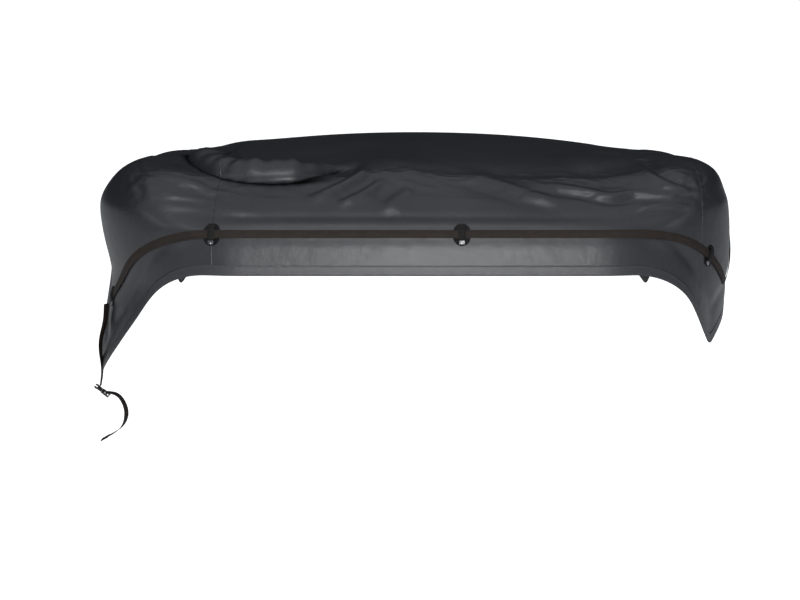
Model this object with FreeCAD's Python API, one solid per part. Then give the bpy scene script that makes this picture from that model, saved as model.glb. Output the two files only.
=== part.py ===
import FreeCAD, Part
import math
import os

# Square cover for an inflatable spa: a coated-fabric sheet over a domed inflatable insert.
# Millimetres. X right, Y back, Z up. The origin is at the centre of the cover's rest face,
# which is the underside of the pocket liner, level with the top of the spa's rim.
# The sheet is drawn in its draped shape: a dome, a rounded shoulder and a hanging skirt whose
# hem arches up along each side and reaches down to a point near each corner.

V = FreeCAD.Vector
UP = V(0, 0, 1)

# Driving dimensions: the draped sheet
SKIRT_HALF = 825.0        # centre to the skirt's outer face
CORNER_R = 400.0          # plan radius of the skirt's corners
FABRIC_T = 3.0            # drawn thickness of the draped fabric
DOME_TOP = 147.0          # crown of the dome above the rest face
DOME_R = 3600.0           # radius of the dome
SHOULDER_R = 60.0         # rounding between dome and skirt
SKIRT_DEEP = -700.0       # the skirt's blank reaches down to here before its hem is cut
SEAM_LEFT = -498.0        # where the left and centre panels meet
SEAM_RIGHT = 700.0        # where the centre and right panels meet
FAR = 1000.0              # beyond every piece, for boxes that cut right through

# Driving dimensions: the hem's arch and the strap that runs parallel to it
HEM_Z = -130.0            # hem along the middle of a side
HEM_SLOPE = 57.0          # degrees, where the hem runs down to a corner point
HEM_ARC_R = 200.0         # between the level and the sloping hem
FRONT_KNEE = 614.0        # where the sloping hem line meets the level one, front and back
SIDE_KNEE = 375.0         # the same on the left and right sides
HEM_BAND = 25.0           # width of the hem binding
STRAP_INSET = 98.0        # hem edge to the strap's centreline
STRAP_W = 20.0
STRAP_T = 1.6

# Stand-off of each layer from the skirt's outer face
PATCH_GAP = 0.3
PATCH_T = 1.0
STRAP_GAP = 2.1
LOOP_T = 1.4
LAYER_GAP = 0.5

# Keepers: an oval patch, a loop over the strap, a crimped clip and its rivet
KEEPER_COUNT = 11
FRONT_KEEPERS = (-498.0, 95.0, 752.0)    # along the outline from the front's middle
EXIT_KEEPER = -905.0                     # beside the strap's free end
PATCH_W = 41.0
PATCH_H = 55.0
LOOP_W = 17.0
LOOP_H = 50.0
LOOP_INSIDE = 27.0        # clear width for the strap
LOOP_RAMP = 2.5           # run of the loop's step down to the patch
LOOP_REACH = 4.0          # how far beyond the loop the strap is trimmed to its width
TRIM_GAP = 0.5            # between the strap's edges and that trim
CLIP_W = 13.0
CLIP_H = 8.5
CLIP_T = 1.2
CLIP_CORNER_R = 1.5
CLIP_Y = (CLIP_H - LOOP_H) / 2           # the clip is on the loop's lower end
CLIP_BASE = PATCH_GAP + PATCH_T + LOOP_T
RIVET_R = 2.2
RIVET_H = 0.9
FRAME_STEP = 2.0          # either side of a keeper, to find the strap's direction there

# Insert pocket and insert
POCKET_HALF = 720.0
POCKET_R = 300.0
LINER_T = 3.0
POCKET_WALL_T = 2.0
POCKET_CLEAR = 1.0        # between the pocket's wall and the seam tapes
TAPE_W = 22.0
TAPE_T = 1.0
TAPE_GAP = 0.2            # between tape and sheet
TAPE_SHORT = 3.0          # the tape stops this far above the hem binding
BLADDER_HALF = 655.0
BLADDER_R = 260.0
BLADDER_BOTTOM = 8.0
BLADDER_CLEAR = 9.0       # under the dome's outer surface
BLADDER_EDGE_R = 15.0
BLADDER_WALL = 1.0

# Valve on the insert's back edge
VALVE_X = -300.0
VALVE_Z = 43.0
VALVE_FLANGE_R = 17.0
VALVE_FLANGE_T = 1.5
VALVE_STEM_R = 7.0
VALVE_STEM_L = 12.0
VALVE_BORE_R = 4.0
PLUG_CLEAR = 0.05
PLUG_SHANK_L = 10.0
PLUG_HEAD_R = 7.5
PLUG_HEAD_T = 2.0
PLUG_TAB = (5.0, 6.0, 1.6)
PLUG_TAB_ROOT = 0.5       # the tab starts this deep in the head
PLUG_GAP = 0.3            # between the plug's head and the stem's end

# Zip in the liner, along the back
ZIP_Y = 600.0
ZIP_HALF = 450.0
ZIP_SLOT_HALF = 12.0
ZIP_TAPE_T = 0.6
ZIP_TAPE_Z = 0.6
ZIP_TAPE_OVERLAP = 0.5    # each tape reaches this far into its row of teeth
ROW_W = 2.2
ROW_GAP = 2.4
ROW_Z = (-0.4, 2.2)
SLIDER_X = -440.0
SLIDER_L = 11.0
SLIDER_HALF = 5.5
SLIDER_PLATE_T = 1.3
SLIDER_Z = (-2.2, 4.0)
SLIDER_SLIT = (0.2, 1.6)
SLIDER_LIP = 1.3
SLIDER_POST = 1.4
SLIDER_POST_L = 4.0
PULL_PIN_R = 0.8
PULL_PIN_Z = -4.4
PULL_CLEAR = 0.05
PULL_HEAD_R = 1.9
PULL_W = 6.0
PULL_T = 1.4
PULL_L = 24.0
PULL_LUG_T = 1.0
PULL_LUG_HALF = 1.6
PULL_LUG_DEEP = 1.4       # how far the lugs reach below the pin's axis
PULL_SIDE_GAP = 0.3       # between the pull and each lug

# Free end of the strap: its route in the plane Y = FREE_Y, as (X, Z) points
FREE_Y = -575.0
HANG_ROUTE = (
    (-806.0, -250.0),
    (-808.0, -281.0),
    (-815.0, -312.0),
    (-825.0, -343.0),
    (-828.0, -376.0),
    (-824.0, -409.0),
    (-825.0, -441.0),
    (-831.0, -470.0),
)
TAIL_ROUTE = (
    (-818.0, -487.0),
    (-800.0, -488.0),
    (-784.0, -496.0),
    (-773.0, -512.0),
    (-766.0, -534.0),
    (-767.0, -557.0),
    (-776.0, -578.0),
    (-793.0, -594.0),
    (-815.0, -606.0),
)
ROUTE_FIT = 0.45          # arc radius as a share of the shorter run, over tan(half the turn)
FREE_W = 20.0
FREE_T = 1.6
TAIL_FOLD_L = 24.0
TAIL_FOLD_T = 3.6

# Male half of the side-release buckle, hanging prongs up and to the left
BUCKLE_AT = (-828.0, -482.0)
BUCKLE_ANGLE = 140.0      # degrees from +X towards +Z, the way the prongs point
BUCKLE_W = 25.0
BUCKLE_T = 5.0
BUCKLE_L = 24.0
BUCKLE_CORNER_R = 2.5
LADDER_SLOT = (21.5, 4.0)
LADDER_EDGE = 3.0         # from the buckle's end to its first slot
LADDER_BAR = 4.0          # between the two slots
PRONG_L = 22.0
PRONG_W = 4.2
PRONG_T = 3.4
PRONG_BARB = 2.4
PRONG_SLIM = 1.0          # how much narrower the arm is than the buckle's edge
BARB_TIP = 6.0            # from the prong's end to where the barb is widest
BARB_BACK = 9.0           # from the prong's end to the barb's catching face
PRONG_ROOT_GAP = 0.6
GUIDE_L = 14.0
GUIDE_W = 5.0
GUIDE_ROOT = 1.0          # the guide starts this deep in the buckle's body

# Female half, on the strap's other end, flat against the left side
FEMALE_Y = -152.0         # its bar end; the mouth faces the front
FEMALE_L = 31.0
FEMALE_W = 28.0
FEMALE_T = 8.4
FEMALE_GAP = 2.4
FEMALE_WALL = 1.6
FEMALE_POCKET_L = 22.0
FEMALE_WINDOW_L = 9.0
FEMALE_WINDOW_IN = 6.0    # from the mouth to each side window
FEMALE_BAR_SLOT = (6.0, 3.0)             # the bar's slot, measured from the bar end
FEMALE_SLOT_EDGE = 3.0    # solid left above and below that slot
FEMALE_CORNER_R = 2.0
STRAP_START_Y = -150.0
STRAP_EXIT_RUN = 4.0      # the strap runs on this far past its last keeper's middle


def outline(half, radius, z):
    """Closed wire of a square with rounded corners."""
    flat = half - radius
    mid = radius * math.sqrt(0.5)
    edges = []
    for turn in range(4):
        place = FreeCAD.Rotation(UP, 90.0 * turn)
        side = Part.LineSegment(place.multVec(V(half, -flat, z)), place.multVec(V(half, flat, z)))
        corner = Part.Arc(
            place.multVec(V(half, flat, z)),
            place.multVec(V(flat + mid, flat + mid, z)),
            place.multVec(V(flat, half, z)),
        )
        edges += [side.toShape(), corner.toShape()]
    return Part.Wire(edges)


def prism(half, radius, low, high):
    return Part.Face(outline(half, radius, low)).extrude(V(0, 0, high - low))


def ring(inner, outer, low, high):
    """Wall that follows the skirt, from `inner` to `outer` outside the skirt's outer face."""
    wall = prism(SKIRT_HALF + outer, CORNER_R + outer, low, high)
    return wall.cut(prism(SKIRT_HALF + inner, CORNER_R + inner, low - 1, high + 1))


def dome_ball(grow):
    """Ball whose top is the dome, turned so that its poles and seam are out at the sides."""
    ball = Part.makeSphere(DOME_R + grow)
    ball.rotate(V(0, 0, 0), V(1, 0, 0), 90)
    ball.translate(V(0, 0, DOME_TOP - DOME_R))
    return ball


def draped_block(grow):
    """Solid under the draped sheet's outer surface, moved outwards by `grow`."""
    block = prism(SKIRT_HALF + grow, CORNER_R + grow, SKIRT_DEEP, DOME_TOP + 50)
    block = block.common(dome_ball(grow))
    rim = [e for e in block.Edges if e.BoundBox.ZMin > -50]
    return block.makeFillet(SHOULDER_R + grow, rim)


def arch_face(inset, knee):
    """Area below a hem-parallel arch, drawn in the XZ plane."""
    slope = math.radians(HEM_SLOPE)
    start = knee - HEM_ARC_R * math.tan(slope / 2)
    radius = HEM_ARC_R + inset
    top = HEM_Z + inset
    centre_z = HEM_Z - HEM_ARC_R
    end_x = start + radius * math.sin(slope)
    end_z = centre_z + radius * math.cos(slope)
    mid_x = start + radius * math.sin(slope / 2)
    mid_z = centre_z + radius * math.cos(slope / 2)
    floor = SKIRT_DEEP - 200
    far_x = end_x + (end_z - floor) / math.tan(slope)
    left_end, left_top = V(-end_x, 0, end_z), V(-start, 0, top)
    right_top, right_end = V(start, 0, top), V(end_x, 0, end_z)
    edges = [
        Part.LineSegment(V(-far_x, 0, floor), left_end).toShape(),
        Part.Arc(left_end, V(-mid_x, 0, mid_z), left_top).toShape(),
        Part.LineSegment(left_top, right_top).toShape(),
        Part.Arc(right_top, V(mid_x, 0, mid_z), right_end).toShape(),
        Part.LineSegment(right_end, V(far_x, 0, floor)).toShape(),
        Part.LineSegment(V(far_x, 0, floor), V(-far_x, 0, floor)).toShape(),
    ]
    return Part.Face(Part.Wire(edges))


def below_arches(inset):
    """Space below the line that runs `inset` from the hem, all the way round."""
    reach = 2 * SKIRT_HALF
    front_back = arch_face(inset, FRONT_KNEE)
    front_back.translate(V(0, -reach, 0))
    front_back = front_back.extrude(V(0, 2 * reach, 0))
    sides = arch_face(inset, SIDE_KNEE)
    sides.rotate(V(0, 0, 0), UP, 90)
    sides.translate(V(-reach, 0, 0))
    sides = sides.extrude(V(2 * reach, 0, 0))
    return front_back.fuse(sides).removeSplitter()


def arch_height(inset, knee, across):
    """Height of a hem-parallel arch at a distance `across` from its middle."""
    slope = math.radians(HEM_SLOPE)
    start = knee - HEM_ARC_R * math.tan(slope / 2)
    radius = HEM_ARC_R + inset
    past = abs(across) - start
    if past <= 0:
        return HEM_Z + inset
    if past < radius * math.sin(slope):
        return HEM_Z - HEM_ARC_R + math.sqrt(radius ** 2 - past ** 2)
    drop = (past - radius * math.sin(slope)) * math.tan(slope)
    return HEM_Z - HEM_ARC_R + radius * math.cos(slope) - drop


def outline_point(distance):
    """Point and outward normal at a distance along the skirt, from the front's middle to +X."""
    flat = SKIRT_HALF - CORNER_R
    arc = CORNER_R * math.pi / 2
    quarter = 2 * flat + arc
    shifted = distance + flat
    side = math.floor(shifted / quarter)
    rest = shifted - side * quarter
    if rest <= 2 * flat:
        point, normal = V(rest - flat, -SKIRT_HALF, 0), V(0, -1, 0)
    else:
        turn = (rest - 2 * flat) / CORNER_R
        normal = V(math.sin(turn), -math.cos(turn), 0)
        point = V(flat, -flat, 0) + normal * CORNER_R
    place = FreeCAD.Rotation(UP, 90.0 * side)
    return place.multVec(point), place.multVec(normal)


def strap_point(distance):
    point, normal = outline_point(distance)
    front = arch_height(STRAP_INSET, FRONT_KNEE, point.x)
    side = arch_height(STRAP_INSET, SIDE_KNEE, point.y)
    return V(point.x, point.y, max(front, side)), normal


def strap_frame(distance):
    """Placement on the strap's line: x along the strap, y across it, z outwards."""
    point, normal = strap_point(distance)
    along = strap_point(distance + FRAME_STEP)[0] - strap_point(distance - FRAME_STEP)[0]
    along = (along - normal * along.dot(normal)).normalize()
    across = normal.cross(along)
    return FreeCAD.Placement(point, FreeCAD.Rotation(along, across, normal, "ZXY"))


def keeper_stations():
    perimeter = 8 * (SKIRT_HALF - CORNER_R) + 2 * math.pi * CORNER_R
    last = perimeter + EXIT_KEEPER
    hidden = KEEPER_COUNT - len(FRONT_KEEPERS) - 1
    gap = (last - FRONT_KEEPERS[-1]) / (hidden + 1)
    return list(FRONT_KEEPERS) + [FRONT_KEEPERS[-1] + gap * (i + 1) for i in range(hidden + 1)]


def box(x, y, z):
    """Box from three (low, high) pairs."""
    return Part.makeBox(x[1] - x[0], y[1] - y[0], z[1] - z[0], V(x[0], y[0], z[0]))


def centred(width, height, low, high):
    return box((-width / 2, width / 2), (-height / 2, height / 2), (low, high))


def extruded_outline(points, direction):
    wire = Part.makePolygon(list(points) + [points[0]])
    return Part.Face(wire).extrude(direction)


# The draped sheet


def sheet_panels():
    shell = draped_block(0).cut(draped_block(-FABRIC_T))
    shell = shell.cut(box((-FAR, FAR), (-FAR, FAR), (SKIRT_DEEP - 10, SKIRT_DEEP + 10)))
    hem_part = shell.cut(below_arches(0)).common(below_arches(HEM_BAND))
    panels = shell.cut(below_arches(HEM_BAND))
    spans = {
        "left_panel": (-FAR, SEAM_LEFT),
        "centre_panel": (SEAM_LEFT, SEAM_RIGHT),
        "right_panel": (SEAM_RIGHT, FAR),
    }
    made = {name: panels.common(box(x, (-FAR, FAR), (-FAR, FAR))) for name, x in spans.items()}
    made["hem_binding"] = hem_part
    return made


def seam_tape(seam_x):
    """Tape welded along the inside of a seam."""
    outside = FABRIC_T + TAPE_GAP
    skin = draped_block(-outside).cut(draped_block(-outside - TAPE_T))
    strip = box((seam_x - TAPE_W / 2, seam_x + TAPE_W / 2), (-FAR, FAR), (SKIRT_DEEP + 10, FAR))
    return skin.common(strip).cut(below_arches(HEM_BAND + TAPE_SHORT))


def cinch_strap():
    """Webbing round the skirt, open on the left where the two buckle halves meet."""
    half = STRAP_W / 2
    wall = ring(STRAP_GAP, STRAP_GAP + STRAP_T, -600, 60)
    band = wall.cut(below_arches(STRAP_INSET - half)).common(below_arches(STRAP_INSET + half))
    exit_point = outline_point(EXIT_KEEPER)[0]
    opening = box((-FAR, -SKIRT_HALF / 2), (exit_point.y + STRAP_EXIT_RUN, STRAP_START_Y), (-FAR, FAR))
    pieces = band.cut([opening] + keeper_trims()).Solids
    return max(pieces, key=lambda piece: piece.Volume)


def keeper_trims():
    """Blocks beside the strap that trim it to the webbing's width inside each loop."""
    trims = []
    reach = LOOP_W / 2 + LOOP_REACH
    for station in keeper_stations():
        for sign in (-1, 1):
            across = sorted((sign * (STRAP_W / 2 + TRIM_GAP), sign * STRAP_W * 1.5))
            trim = box((-reach, reach), across, (-STRAP_W, STRAP_W))
            trim.Placement = strap_frame(station)
            trims.append(trim)
    return trims


# Keepers, drawn flat in their own frame: x along the strap, y across it, z outwards


def keeper_patch():
    straight = PATCH_H - PATCH_W
    body = centred(PATCH_W, straight, PATCH_GAP, PATCH_GAP + PATCH_T)
    for sign in (-1, 1):
        end = Part.makeCylinder(PATCH_W / 2, PATCH_T, V(0, sign * straight / 2, PATCH_GAP))
        body = body.fuse(end)
    return body.removeSplitter()


def keeper_loop():
    """Band that is fixed to the patch above and below the strap and bridges over it."""
    low = PATCH_GAP + PATCH_T
    high = STRAP_GAP + STRAP_T + LAYER_GAP
    inside = LOOP_INSIDE / 2
    foot = LOOP_H / 2
    step = inside + LOOP_RAMP
    lower = [(foot, low), (step, low), (inside, high), (-inside, high), (-step, low), (-foot, low)]
    upper = [(y, z + LOOP_T) for y, z in reversed(lower)]
    points = [V(-LOOP_W / 2, y, z) for y, z in lower + upper]
    return extruded_outline(points, V(LOOP_W, 0, 0))


def keeper_clip():
    clip = centred(CLIP_W, CLIP_H, CLIP_BASE, CLIP_BASE + CLIP_T)
    clip.translate(V(0, CLIP_Y, 0))
    corners = [e for e in clip.Edges if abs(e.tangentAt(e.FirstParameter).z) > 0.9]
    return clip.makeFillet(CLIP_CORNER_R, corners)


def keeper_rivet():
    base = CLIP_BASE + CLIP_T
    rivet = Part.makeCylinder(RIVET_R, RIVET_H, V(0, CLIP_Y, base))
    top = [e for e in rivet.Edges if e.BoundBox.ZMin > base + RIVET_H / 2]
    return rivet.makeFillet(RIVET_H / 2, top)


def keepers():
    made = {}
    rivets = []
    for number, station in enumerate(keeper_stations(), start=1):
        place = strap_frame(station)
        label = f"{number:02d}"
        for name, make in (("patch", keeper_patch), ("loop", keeper_loop), ("clip", keeper_clip)):
            piece = make()
            piece.Placement = place
            made[f"keeper_{name}_{label}"] = piece
        rivet = keeper_rivet()
        rivet.Placement = place
        rivets.append(rivet)
    made["keeper_rivets"] = Part.makeCompound(rivets)
    return made


# The strap's free end


def rounded_route(points, label):
    """Straight runs joined by tangent arcs, as (kind, points) steps in the XZ plane."""
    route = [V(x, 0, z) for x, z in points]
    steps = []
    start = route[0]
    for before, corner, after in zip(route, route[1:], route[2:]):
        run_in, run_out = corner - before, after - corner
        turn = run_in.getAngle(run_out)
        back = ROUTE_FIT * min(run_in.Length, run_out.Length)
        radius = back / math.tan(turn / 2)
        print(label, "radius", round(radius, 1), "turn", round(math.degrees(turn), 1))
        arc_start = corner - run_in.normalize() * back
        arc_end = corner + run_out.normalize() * back
        bisector = (arc_start + arc_end) * 0.5 - corner
        sagitta = radius / math.cos(turn / 2) - radius
        middle = corner + bisector.normalize() * sagitta
        steps.append(Part.LineSegment(start, arc_start).toShape())
        steps.append(Part.Arc(arc_start, middle, arc_end).toShape())
        start = arc_end
    steps.append(Part.LineSegment(start, route[-1]).toShape())
    return steps


def webbing(points, label):
    """Flat webbing, edge-on to the XZ plane, along a rounded route."""
    wire = Part.Wire(rounded_route(points, label))
    first = wire.OrderedEdges[0]
    profile_normal = first.tangentAt(first.FirstParameter)
    origin = first.valueAt(first.FirstParameter)
    flat = Part.makePolygon([
        V(-FREE_T / 2, -FREE_W / 2, 0),
        V(FREE_T / 2, -FREE_W / 2, 0),
        V(FREE_T / 2, FREE_W / 2, 0),
        V(-FREE_T / 2, FREE_W / 2, 0),
        V(-FREE_T / 2, -FREE_W / 2, 0),
    ])
    side = profile_normal.cross(V(0, 1, 0))
    turn = FreeCAD.Rotation(side, V(0, 1, 0), profile_normal, "ZXY")
    flat.Placement = FreeCAD.Placement(origin, turn)
    solid = wire.makePipeShell([flat], True, False, 2)
    solid.translate(V(0, FREE_Y, 0))
    fullness = solid.Volume / (wire.Length * FREE_W * FREE_T)
    print(label, "length", round(wire.Length, 1), "volume share", round(fullness, 4))
    return solid


def tail_fold():
    """Folded and stitched tip that keeps the tail from slipping out of the buckle."""
    before, last = [V(x, 0, z) for x, z in TAIL_ROUTE[-2:]]
    along = (last - before).normalize()
    side = along.cross(V(0, 1, 0))
    half = TAIL_FOLD_T / 2
    tip = last + along * TAIL_FOLD_L
    points = [last + side * half, tip + side * half, tip - side * half, last - side * half]
    fold = extruded_outline(points, V(0, FREE_W, 0))
    fold.translate(V(0, FREE_Y - FREE_W / 2, 0))
    return fold


def buckle_place():
    """Placement of the male half: x towards the prongs, y across, z through its thickness."""
    angle = math.radians(BUCKLE_ANGLE)
    along = V(math.cos(angle), 0, math.sin(angle))
    return FreeCAD.Placement(
        V(BUCKLE_AT[0], FREE_Y, BUCKLE_AT[1]),
        FreeCAD.Rotation(along, V(0, 1, 0), along.cross(V(0, 1, 0)), "ZXY"),
    )


def male_buckle():
    half_t = BUCKLE_T / 2
    body = box((-BUCKLE_L, 0), (-BUCKLE_W / 2, BUCKLE_W / 2), (-half_t, half_t))
    upright = [e for e in body.Edges if abs(e.tangentAt(e.FirstParameter).z) > 0.9]
    body = body.makeFillet(BUCKLE_CORNER_R, upright)
    slot_half = LADDER_SLOT[0] / 2
    first_slot = -BUCKLE_L + LADDER_EDGE
    for start in (first_slot, first_slot + LADDER_SLOT[1] + LADDER_BAR):
        slot = box((start, start + LADDER_SLOT[1]), (-slot_half, slot_half), (-half_t - 1, half_t + 1))
        body = body.cut(slot)
    guide = box((-GUIDE_ROOT, GUIDE_L), (-GUIDE_W / 2, GUIDE_W / 2), (-PRONG_T / 2, PRONG_T / 2))
    body = body.fuse(guide).removeSplitter()
    body.Placement = buckle_place()
    return body


def buckle_prong(sign):
    """Springy side arm with a barb that catches in the female half's window."""
    inner = BUCKLE_W / 2 - PRONG_W
    outer = BUCKLE_W / 2 - PRONG_SLIM
    barb = BUCKLE_W / 2 + PRONG_BARB
    outline_points = [
        (PRONG_ROOT_GAP, inner),
        (PRONG_L, inner),
        (PRONG_L, outer),
        (PRONG_L - BARB_TIP, barb),
        (PRONG_L - BARB_BACK, barb),
        (PRONG_L - BARB_BACK, outer),
        (PRONG_ROOT_GAP, outer),
    ]
    points = [V(x, sign * y, -PRONG_T / 2) for x, y in outline_points]
    prong = extruded_outline(points, V(0, 0, PRONG_T))
    prong.Placement = buckle_place()
    return prong


def female_buckle():
    inner_x = -(SKIRT_HALF + FEMALE_GAP)
    middle_z = HEM_Z + STRAP_INSET
    x = (inner_x - FEMALE_T, inner_x)
    y = (FEMALE_Y - FEMALE_L, FEMALE_Y)
    z = (middle_z - FEMALE_W / 2, middle_z + FEMALE_W / 2)
    body = box(x, y, z)
    long_edges = [e for e in body.Edges if abs(e.tangentAt(e.FirstParameter).y) > 0.9]
    body = body.makeFillet(FEMALE_CORNER_R, long_edges)
    hollow_x = (x[0] + FEMALE_WALL, x[1] - FEMALE_WALL)
    hollow_z = (z[0] + FEMALE_WALL, z[1] - FEMALE_WALL)
    body = body.cut(box(hollow_x, (y[0] - 1, y[0] + FEMALE_POCKET_L), hollow_z))
    window_start = y[0] + FEMALE_WINDOW_IN
    window_y = (window_start, window_start + FEMALE_WINDOW_L)
    body = body.cut(box(hollow_x, window_y, (z[0] - 1, z[1] + 1)))
    slot_y = (y[1] - FEMALE_BAR_SLOT[0], y[1] - FEMALE_BAR_SLOT[1])
    slot_z = (z[0] + FEMALE_SLOT_EDGE, z[1] - FEMALE_SLOT_EDGE)
    return body.cut(box((x[0] - 1, x[1] + 1), slot_y, slot_z))


# The pocket and the insert


def zip_slot():
    slot_y = (ZIP_Y - ZIP_SLOT_HALF, ZIP_Y + ZIP_SLOT_HALF)
    return box((-ZIP_HALF, ZIP_HALF), slot_y, (-1, LINER_T + 1))


def pocket_liner():
    return prism(POCKET_HALF, POCKET_R, 0, LINER_T).cut(zip_slot())


def pocket_wall():
    """Side band of the pocket, from the liner up to just under the sheet and its tapes."""
    clear = FABRIC_T + TAPE_T + POCKET_CLEAR
    wall = prism(POCKET_HALF, POCKET_R, LINER_T, DOME_TOP)
    inner = POCKET_HALF - POCKET_WALL_T
    wall = wall.cut(prism(inner, POCKET_R - POCKET_WALL_T, 0, DOME_TOP + 1))
    return wall.common(dome_ball(-clear))


def bladder_block(shrink):
    half = BLADDER_HALF - shrink
    radius = BLADDER_R - shrink
    block = prism(half, radius, BLADDER_BOTTOM + shrink, DOME_TOP + 10)
    block = block.common(dome_ball(-BLADDER_CLEAR - shrink))
    upright = BLADDER_EDGE_R * 2
    rims = [e for e in block.Edges if e.BoundBox.ZLength < upright]
    return block.makeFillet(BLADDER_EDGE_R - shrink, rims)


def air_bladder():
    return bladder_block(0).cut(bladder_block(BLADDER_WALL))


def valve_axis_cylinder(radius, start, length):
    return Part.makeCylinder(radius, length, V(VALVE_X, start, VALVE_Z), V(0, 1, 0))


def valve_body():
    face = BLADDER_HALF
    body = valve_axis_cylinder(VALVE_FLANGE_R, face, VALVE_FLANGE_T)
    body = body.fuse(valve_axis_cylinder(VALVE_STEM_R, face, VALVE_FLANGE_T + VALVE_STEM_L))
    bore = valve_axis_cylinder(VALVE_BORE_R, face + VALVE_FLANGE_T, VALVE_STEM_L + 1)
    return body.cut(bore).removeSplitter()


def valve_plug():
    seat = BLADDER_HALF + VALVE_FLANGE_T + VALVE_STEM_L + PLUG_GAP
    plug = valve_axis_cylinder(PLUG_HEAD_R, seat, PLUG_HEAD_T)
    shank = valve_axis_cylinder(VALVE_BORE_R - PLUG_CLEAR, seat - PLUG_SHANK_L, PLUG_SHANK_L + 1)
    width, reach, thick = PLUG_TAB
    start = seat + PLUG_HEAD_T - PLUG_TAB_ROOT
    tab = box(
        (VALVE_X - width / 2, VALVE_X + width / 2),
        (start, start + reach),
        (VALVE_Z - thick / 2, VALVE_Z + thick / 2),
    )
    return plug.fuse([shank, tab]).removeSplitter()


def zip_tapes():
    """The two tapes and their rows of teeth, drawn as plain bars."""
    pieces = []
    for sign in (-1, 1):
        row_in = ROW_GAP / 2
        row_out = row_in + ROW_W
        row_y = sorted((ZIP_Y + sign * row_in, ZIP_Y + sign * row_out))
        tape_in = row_out - ZIP_TAPE_OVERLAP
        tape_y = sorted((ZIP_Y + sign * tape_in, ZIP_Y + sign * ZIP_SLOT_HALF))
        row = box((-ZIP_HALF, ZIP_HALF), row_y, ROW_Z)
        tape = box((-ZIP_HALF, ZIP_HALF), tape_y, (ZIP_TAPE_Z, ZIP_TAPE_Z + ZIP_TAPE_T))
        pieces.append(row.fuse(tape).removeSplitter())
    return Part.makeCompound(pieces)


def zip_slider():
    x = (SLIDER_X - SLIDER_L / 2, SLIDER_X + SLIDER_L / 2)
    y = (ZIP_Y - SLIDER_HALF, ZIP_Y + SLIDER_HALF)
    bottom, top = SLIDER_Z
    slider = box(x, y, (bottom, bottom + SLIDER_PLATE_T))
    slider = slider.fuse(box(x, y, (top - SLIDER_PLATE_T, top)))
    post_y = (ZIP_Y - SLIDER_POST / 2, ZIP_Y + SLIDER_POST / 2)
    slider = slider.fuse(box((x[0], x[0] + SLIDER_POST_L), post_y, (bottom, top)))
    for lip_y in ((y[0], y[0] + SLIDER_LIP), (y[1] - SLIDER_LIP, y[1])):
        slider = slider.fuse(box(x, lip_y, (bottom, SLIDER_SLIT[0])))
        slider = slider.fuse(box(x, lip_y, (SLIDER_SLIT[1], top)))
    gap = PULL_W / 2 + PULL_SIDE_GAP
    lug_x = (SLIDER_X - PULL_LUG_HALF, SLIDER_X + PULL_LUG_HALF)
    for sign in (-1, 1):
        lug_y = sorted((ZIP_Y + sign * gap, ZIP_Y + sign * (gap + PULL_LUG_T)))
        slider = slider.fuse(box(lug_x, lug_y, (PULL_PIN_Z - PULL_LUG_DEEP, bottom)))
    pin_half = gap + PULL_LUG_T
    return slider.fuse(pin_cylinder(PULL_PIN_R, pin_half)).removeSplitter()


def zip_pull():
    tab_x = (SLIDER_X - PULL_T / 2, SLIDER_X + PULL_T / 2)
    tab_y = (ZIP_Y - PULL_W / 2, ZIP_Y + PULL_W / 2)
    tab = box(tab_x, tab_y, (PULL_PIN_Z - PULL_L, PULL_PIN_Z))
    head = pin_cylinder(PULL_HEAD_R, PULL_W / 2)
    eye = pin_cylinder(PULL_PIN_R + PULL_CLEAR, PULL_W / 2 + 1)
    return head.fuse(tab).cut(eye).removeSplitter()


def pin_cylinder(radius, half_length):
    """Cylinder on the pull's pin axis."""
    base = V(SLIDER_X, ZIP_Y - half_length, PULL_PIN_Z)
    return Part.makeCylinder(radius, 2 * half_length, base, V(0, 1, 0))


def build():
    made = sheet_panels()
    made["seam_tape_left"] = seam_tape(SEAM_LEFT)
    made["seam_tape_right"] = seam_tape(SEAM_RIGHT)
    made["cinch_strap"] = cinch_strap()
    made.update(keepers())
    made["hanging_strap"] = webbing(HANG_ROUTE, "hanging strap")
    made["loose_tail"] = webbing(TAIL_ROUTE, "loose tail")
    made["tail_fold"] = tail_fold()
    made["male_buckle"] = male_buckle()
    made["buckle_prong_front"] = buckle_prong(-1)
    made["buckle_prong_back"] = buckle_prong(1)
    made["female_buckle"] = female_buckle()
    made["air_bladder"] = air_bladder()
    made["valve_body"] = valve_body()
    made["valve_plug"] = valve_plug()
    made["pocket_wall"] = pocket_wall()
    made["pocket_liner"] = pocket_liner()
    made["zip_tapes"] = zip_tapes()
    made["zip_slider"] = zip_slider()
    made["zip_pull"] = zip_pull()
    return made


os.makedirs("parts", exist_ok=True)
for node, shape in build().items():
    solids = shape.Solids
    valid = all(s.isValid() for s in solids)
    print(node, "solids", len(solids), "valid", valid, "cm3", round(shape.Volume / 1000, 2))
    kept = solids[0] if len(solids) == 1 else Part.makeCompound(solids)
    kept.exportStep(f"parts/{node}.step")
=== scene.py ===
import math

import bmesh
import bpy
import numpy as np
from mathutils import Matrix, Vector
from mathutils.bvhtree import BVHTree


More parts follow.
